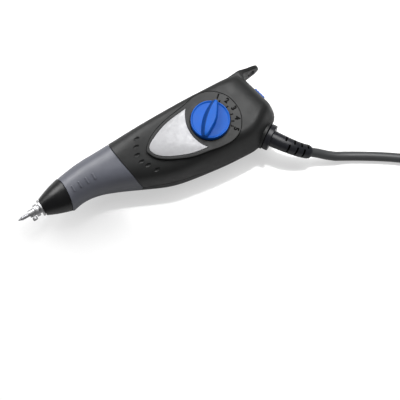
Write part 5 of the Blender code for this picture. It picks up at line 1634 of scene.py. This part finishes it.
def paint_slot_shade(body, path, radii, into):
    """The inner faces of the boot's slots get the dark finish, as painted shade."""
    body.data.materials.append(finish["digit_black"])
    first, last = RELIEF_SLOT_shares
    for face in body.data.polygons:
        here = into @ face.center
        index = min(range(len(path)), key=lambda spot: (path[spot] - here).length)
        deep = (path[index] - here).length < radii[index] - RELIEF_SLOT / 3
        if deep and first / 2 < index / (len(path) - 1) < (1 + last) / 2:
            face.material_index = 1


# Mains lead


def coil_path():
    """The coil's loops, spiralling in and out and climbing at each reversal."""
    total = COIL_TURNS * math.tau
    layer = total / COIL_LAYERS
    count = round(COIL_TURNS * COIL_POINTS) * 2
    path = []
    for step in range(count + 1):
        angle = total * step / count
        phase = angle % (2 * layer)
        inward = layer - abs(phase - layer)
        radius = COIL_INNER_RADIUS + COIL_PITCH * (layer - inward) / math.tau
        climb = sum(
            clamped((angle - number * layer) / math.pi + 0.5) for number in range(1, COIL_LAYERS)
        )
        turn = math.radians(COIL_START) + angle
        x = COIL_X + radius * math.cos(turn)
        y = COIL_Y + radius * math.sin(turn)
        path.append(Vector((x, y, CORD_BED + COIL_PITCH * climb)))
    return path


def spaced(path, spacing):
    """Points at even steps along a path."""
    points = np.array(path)
    along = np.concatenate([[0], np.cumsum(np.linalg.norm(np.diff(points, axis=0), axis=1))])
    count = max(2, round(along[-1] / spacing))
    places = np.linspace(0, along[-1], count + 1)
    return [Vector([np.interp(s, along, points[:, axis]) for axis in range(3)]) for s in places]


def straight_ends(path):
    """The path with a straight run of one tube diameter at each end."""
    first = (path[0] - path[1]).normalized() * 2 * CORD_RADIUS
    last = (path[-1] - path[-2]).normalized() * 2 * CORD_RADIUS
    return [path[0] + first, *path, path[-1] + last]


def lead_path(start, ahead, route, end, back):
    """A free run of the cord by way of a route, from one direction into another."""
    reach = 2 * CORD_RADIUS
    origin = Vector((RELIEF_X, RELIEF_Y, 0))
    places = [origin + Vector(place) for place in route]
    corners = [start, start + ahead * reach, *places, end + back * reach, end]
    middle = smooth_path(corners, ROUTE_PIECES)[ROUTE_PIECES:-ROUTE_PIECES]
    return [start, *spaced(middle, reach), end]


def make_lead():
    """One tube from the boot through the coil to the plug, with tie and plug."""
    coil = straight_ends(coil_path())
    place, ahead = boot_end()
    turn = Matrix.Rotation(math.radians(RELIEF_ANGLE), 3, "Z")
    start = Vector((RELIEF_X, RELIEF_Y, HALF_THICKNESS)) + turn @ place
    into = (coil[1] - coil[0]).normalized()
    first = lead_path(start, turn @ ahead, CORD_route, coil[0] - into * GAP, -into)
    out = (coil[-1] - coil[-2]).normalized()
    plug_turn = math.radians(PLUG_ANGLE)
    plug_ahead = Vector((math.cos(plug_turn), math.sin(plug_turn), 0))
    plug = Vector((PLUG_X, PLUG_Y, PLUG_THICKNESS / 2))
    end = plug - plug_ahead * GAP
    tail = lead_path(coil[-1] + out * GAP, out, TAIL_route, end, -plug_ahead)
    whole = [*first, *coil, *tail]
    cord = tube("mains_lead", whole, CORD_RADIUS, "cord_rubber")
    hold(cord, "housing", "cord_rubber", "power_cord", "cord_coil", "cord_tail")
    band = make_tie()
    spot = placed(plug, PLUG_ANGLE)
    make_plug(spot, plug_turn)


def make_tie():
    """A band round all the coil's turns at one place."""
    low = CORD_BED - CORD_RADIUS
    high = CORD_BED + (COIL_LAYERS - 1) * COIL_PITCH + CORD_RADIUS + TIE_CLEARANCE
    inner = COIL_INNER_RADIUS - CORD_RADIUS - TIE_CLEARANCE
    outer = COIL_INNER_RADIUS + COIL_PITCH * COIL_TURNS / COIL_LAYERS + CORD_RADIUS + TIE_CLEARANCE
    spot = placed((COIL_X, COIL_Y, 0), TIE_ANGLE)
    half = TIE_WIDTH / 2
    rear = (inner - TIE_THICKNESS, -half, low)
    front = (outer + TIE_THICKNESS, half, high + TIE_THICKNESS)
    band = piece("lead_tie", soft_block(rear, front, GAP, 2), "nylon", spot)
    room = soft_block((inner, -half - OVERRUN, -FAR), (outer, half + OVERRUN, high), OVERRUN, 3)
    band = carve(band, [cut("room", room, spot)])
    return hold(band, "housing", "nylon", "cord_tie")


def make_plug(spot, turn):
    """The flat plug with its two round pins."""
    rings = []
    for share in np.linspace(0, 1, PLUG_STATIONS):
        _, wide, thick = smooth_row(PLUG_shares, share)
        half_y, half_z = PLUG_WIDTH / 2 * min(wide, 1.0), PLUG_THICKNESS / 2 * min(thick, 1.0)
        outline = soft_rectangle(half_y, half_z, min(PLUG_EDGE, half_z / 2))
        rings.append([(share * PLUG_LENGTH, y, z) for y, z in outline])
    body = piece("lead_plug", lofted(rings), "cord_rubber", spot)
    hold(body, "housing", "cord_rubber", "plug_body")
    profile = stepped(GAP - PLUG_PIN_SEAT, PLUG_PIN_RADIUS, PLUG_PIN_LENGTH)
    shape = turned(rounded(profile, PLUG_PIN_RADIUS / 2, 5), SMALL_SIDES)
    unit = unit_of("pin_unit", shape)
    places = [
        tuple(spot @ Vector((PLUG_LENGTH, side * PLUG_PIN_SPREAD / 2, 0))) for side in (-1, 1)
    ]
    pins = repeated("lead_pins", unit, places, [(0, 0, turn)] * 2, "brass_pin")
    return body, hold(pins, "housing", "chrome", "plug_pin_1", "plug_pin_2")


# Insides and stage


INSIDES = {
    "armature_plate": "iron",
    "armature_nut": "steel",
    "magnet_core": "iron",
    "coil_bobbin": "nylon",
    "coil_winding": "copper",
    "stroke_bar": "nylon",
    "stroke_cam": "nylon",
    "cam_screw": "steel",
    "return_spring": "steel",
    "front_bush": "bronze",
    "switch_body": "boot_rubber",
    "cord_clamp": "nylon",
    "cord_clamp_screw_1": "steel",
    "cord_clamp_screw_2": "steel",
    "inner_cord": "cord_rubber",
}


def dress_insides():
    """The pieces inside keep their CAD meshes and get procedural materials."""
    for name, look in INSIDES.items():
        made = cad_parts[name]
        made.data.materials.clear()
        made.data.materials.append(finish[look])


def make_stage(look):
    """White floor, level light and the camera."""
    scene = bpy.context.scene
    floor = bmesh.new()
    bmesh.ops.create_grid(floor, x_segments=1, y_segments=1, size=FLOOR_REACH)
    mesh = bpy.data.meshes.new("floor")
    floor.to_mesh(mesh)
    floor.free()
    ground = linked("floor", mesh)
    ground.location.z = -FLOOR_BELOW
    mesh.materials.append(floor_material())

    world = bpy.data.worlds.new("studio")
    world.use_nodes = True
    scene.world = world
    back = world.node_tree.nodes["Background"]
    back.inputs["Color"].default_value = (1, 1, 1, 1)
    back.inputs["Strength"].default_value = SKY_LIGHT

    aim = Vector(CAMERA_AIM)
    for name, place, size, power in LAMPS:
        lamp = bpy.data.lights.new(name, "AREA")
        lamp.shape = "RECTANGLE"
        lamp.size, lamp.size_y = size
        lamp.energy = power
        made = linked(name, lamp)
        made.location = place
        made.rotation_euler = (aim - Vector(place)).to_track_quat("-Z", "Y").to_euler()

    turn, height = math.radians(VIEW_TURN), math.radians(VIEW_HEIGHT)
    level = math.cos(height)
    back_way = Vector((math.sin(turn) * level, -math.cos(turn) * level, math.sin(height)))
    camera = linked("camera", bpy.data.cameras.new("camera"))
    camera.data.lens = look.focal_length
    camera.data.sensor_width = SENSOR_WIDTH
    camera.data.dof.use_dof = False
    camera.location = aim + back_way * look.camera_distance
    camera.rotation_euler = back_way.to_track_quat("Z", "Y").to_euler()
    scene.camera = camera
    scene.view_settings.view_transform = "Standard"


def floor_material():
    """White to the camera and in reflections, with a soft shadow and a faint gleam."""
    made = bpy.data.materials.new("floor")
    made.use_nodes = True
    tree = made.node_tree
    tree.nodes.clear()
    paper = tree.nodes.new("ShaderNodeBsdfDiffuse")
    paper.inputs["Color"].default_value = (FLOOR_TONE, FLOOR_TONE, FLOOR_TONE, 1)
    gleam = tree.nodes.new("ShaderNodeBsdfGlossy")
    gleam.inputs["Roughness"].default_value = FLOOR_GLEAM
    sheet = tree.nodes.new("ShaderNodeMixShader")
    sheet.inputs["Fac"].default_value = FLOOR_GLEAM
    glow = tree.nodes.new("ShaderNodeEmission")
    rays = tree.nodes.new("ShaderNodeLightPath")
    total = None
    for name, strength in FLOOR_glow:
        share = tree.nodes.new("ShaderNodeMath")
        share.operation = "MULTIPLY_ADD"
        share.inputs[1].default_value = strength
        share.inputs[2].default_value = 0
        tree.links.new(rays.outputs[name], share.inputs[0])
        if total:
            tree.links.new(total, share.inputs[2])
        total = share.outputs[0]
    both = tree.nodes.new("ShaderNodeAddShader")
    out = tree.nodes.new("ShaderNodeOutputMaterial")
    for source, target in (
        (total, glow.inputs["Strength"]),
        (paper.outputs[0], sheet.inputs[1]),
        (gleam.outputs[0], sheet.inputs[2]),
        (sheet.outputs[0], both.inputs[0]),
        (glow.outputs[0], both.inputs[1]),
        (both.outputs[0], out.inputs["Surface"]),
    ):
        tree.links.new(source, target)
    return made


# Add-on


class EngraverLook(bpy.types.PropertyGroup):
    """Sizes and colours of the visual pieces."""

    housing_colour: bpy.props.FloatVectorProperty(
        name="Housing", description="Colour of the two shells",
        subtype="COLOR", size=3, min=0, max=1, default=(0.015, 0.0155, 0.0155),
    )
    grip_colour: bpy.props.FloatVectorProperty(
        name="Grip", description="Colour of the grip sleeve",
        subtype="COLOR", size=3, min=0, max=1, default=(0.098, 0.103, 0.126),
    )
    dial_colour: bpy.props.FloatVectorProperty(
        name="Dial", description="Colour of the stroke dial",
        subtype="COLOR", size=3, min=0, max=1, default=(0.006, 0.106, 0.500),
    )
    cord_colour: bpy.props.FloatVectorProperty(
        name="Lead", description="Colour of the mains lead",
        subtype="COLOR", size=3, min=0, max=1, default=(0.060, 0.062, 0.064),
    )
    plate_colour: bpy.props.FloatVectorProperty(
        name="Plate", description="Colour of the name plate",
        subtype="COLOR", size=3, min=0, max=1, default=(0.33, 0.33, 0.34),
    )
    digit_height: bpy.props.FloatProperty(
        name="Digit height", description="Height of the dial's digits",
        subtype="DISTANCE", unit="LENGTH", default=0.0034, min=0.0010, max=0.0060,
    )
    camera_distance: bpy.props.FloatProperty(
        name="Camera distance", description="Distance of the camera from the pen",
        subtype="DISTANCE", unit="LENGTH", default=0.8, min=0.2, max=3.0,
    )
    focal_length: bpy.props.FloatProperty(
        name="Focal length", description="Lens of the camera in millimetres",
        default=108.8, min=20, max=300,
    )


class ENGRAVER_OT_shells(bpy.types.Operator):
    """Build both housing shells, the plate, the scale and the screws"""

    bl_idname = "engraver.shells"
    bl_label = "Housing"

    def execute(self, context):
        make_finishes(context.scene.engraver_look)
        make_shell("shell_dial_side", 1, "dial_side_shell")
        make_shell("shell_back", -1, "back_shell")
        make_plate()
        make_panel_line()
        make_scale(context.scene.engraver_look)
        make_screws()
        return {"FINISHED"}


class ENGRAVER_OT_nose(bpy.types.Operator):
    """Build the grip sleeve, the nose and the striking parts"""

    bl_idname = "engraver.nose"
    bl_label = "Sleeve and nose"

    def execute(self, context):
        make_finishes(context.scene.engraver_look)
        make_sleeve()
        make_nose()
        make_plunger()
        return {"FINISHED"}


class ENGRAVER_OT_dial(bpy.types.Operator):
    """Build the stroke dial and the switch slider"""

    bl_idname = "engraver.dial"
    bl_label = "Dial and switch"

    def execute(self, context):
        make_finishes(context.scene.engraver_look)
        make_dial()
        make_switch()
        return {"FINISHED"}


class ENGRAVER_OT_lead(bpy.types.Operator):
    """Build the mains lead with its boot, tie and plug"""

    bl_idname = "engraver.lead"
    bl_label = "Mains lead"

    def execute(self, context):
        make_finishes(context.scene.engraver_look)
        make_lead()
        make_boot()
        return {"FINISHED"}


class ENGRAVER_OT_insides(bpy.types.Operator):
    """Give the inner pieces their materials"""

    bl_idname = "engraver.insides"
    bl_label = "Insides"

    def execute(self, context):
        make_finishes(context.scene.engraver_look)
        dress_insides()
        return {"FINISHED"}


class ENGRAVER_OT_stage(bpy.types.Operator):
    """Set the floor, the light and the camera"""

    bl_idname = "engraver.stage"
    bl_label = "Stage"

    def execute(self, context):
        make_stage(context.scene.engraver_look)
        return {"FINISHED"}


class ENGRAVER_PT_panel(bpy.types.Panel):
    """Sizes, colours and steps of the engraving pen"""

    bl_idname = "ENGRAVER_PT_panel"
    bl_label = "Engraving pen"
    bl_space_type = "VIEW_3D"
    bl_region_type = "UI"
    bl_category = "Engraver"

    def draw(self, context):
        for name in EngraverLook.__annotations__:
            self.layout.prop(context.scene.engraver_look, name)
        for step in STEPS:
            self.layout.operator(step.bl_idname)


STEPS = (
    ENGRAVER_OT_shells,
    ENGRAVER_OT_nose,
    ENGRAVER_OT_dial,
    ENGRAVER_OT_lead,
    ENGRAVER_OT_insides,
    ENGRAVER_OT_stage,
)
CLASSES = (EngraverLook, *STEPS, ENGRAVER_PT_panel)


def register():
    for made in CLASSES:
        bpy.utils.register_class(made)
    bpy.types.Scene.engraver_look = bpy.props.PointerProperty(type=EngraverLook)


def unregister():
    del bpy.types.Scene.engraver_look
    for made in reversed(CLASSES):
        bpy.utils.unregister_class(made)


def main():
    register()
    for step in STEPS:
        group, name = step.bl_idname.split(".")
        if getattr(getattr(bpy.ops, group), name)() != {"FINISHED"}:
            raise RuntimeError(step.bl_idname + " did not finish")


if __name__ == "__main__":
    main()
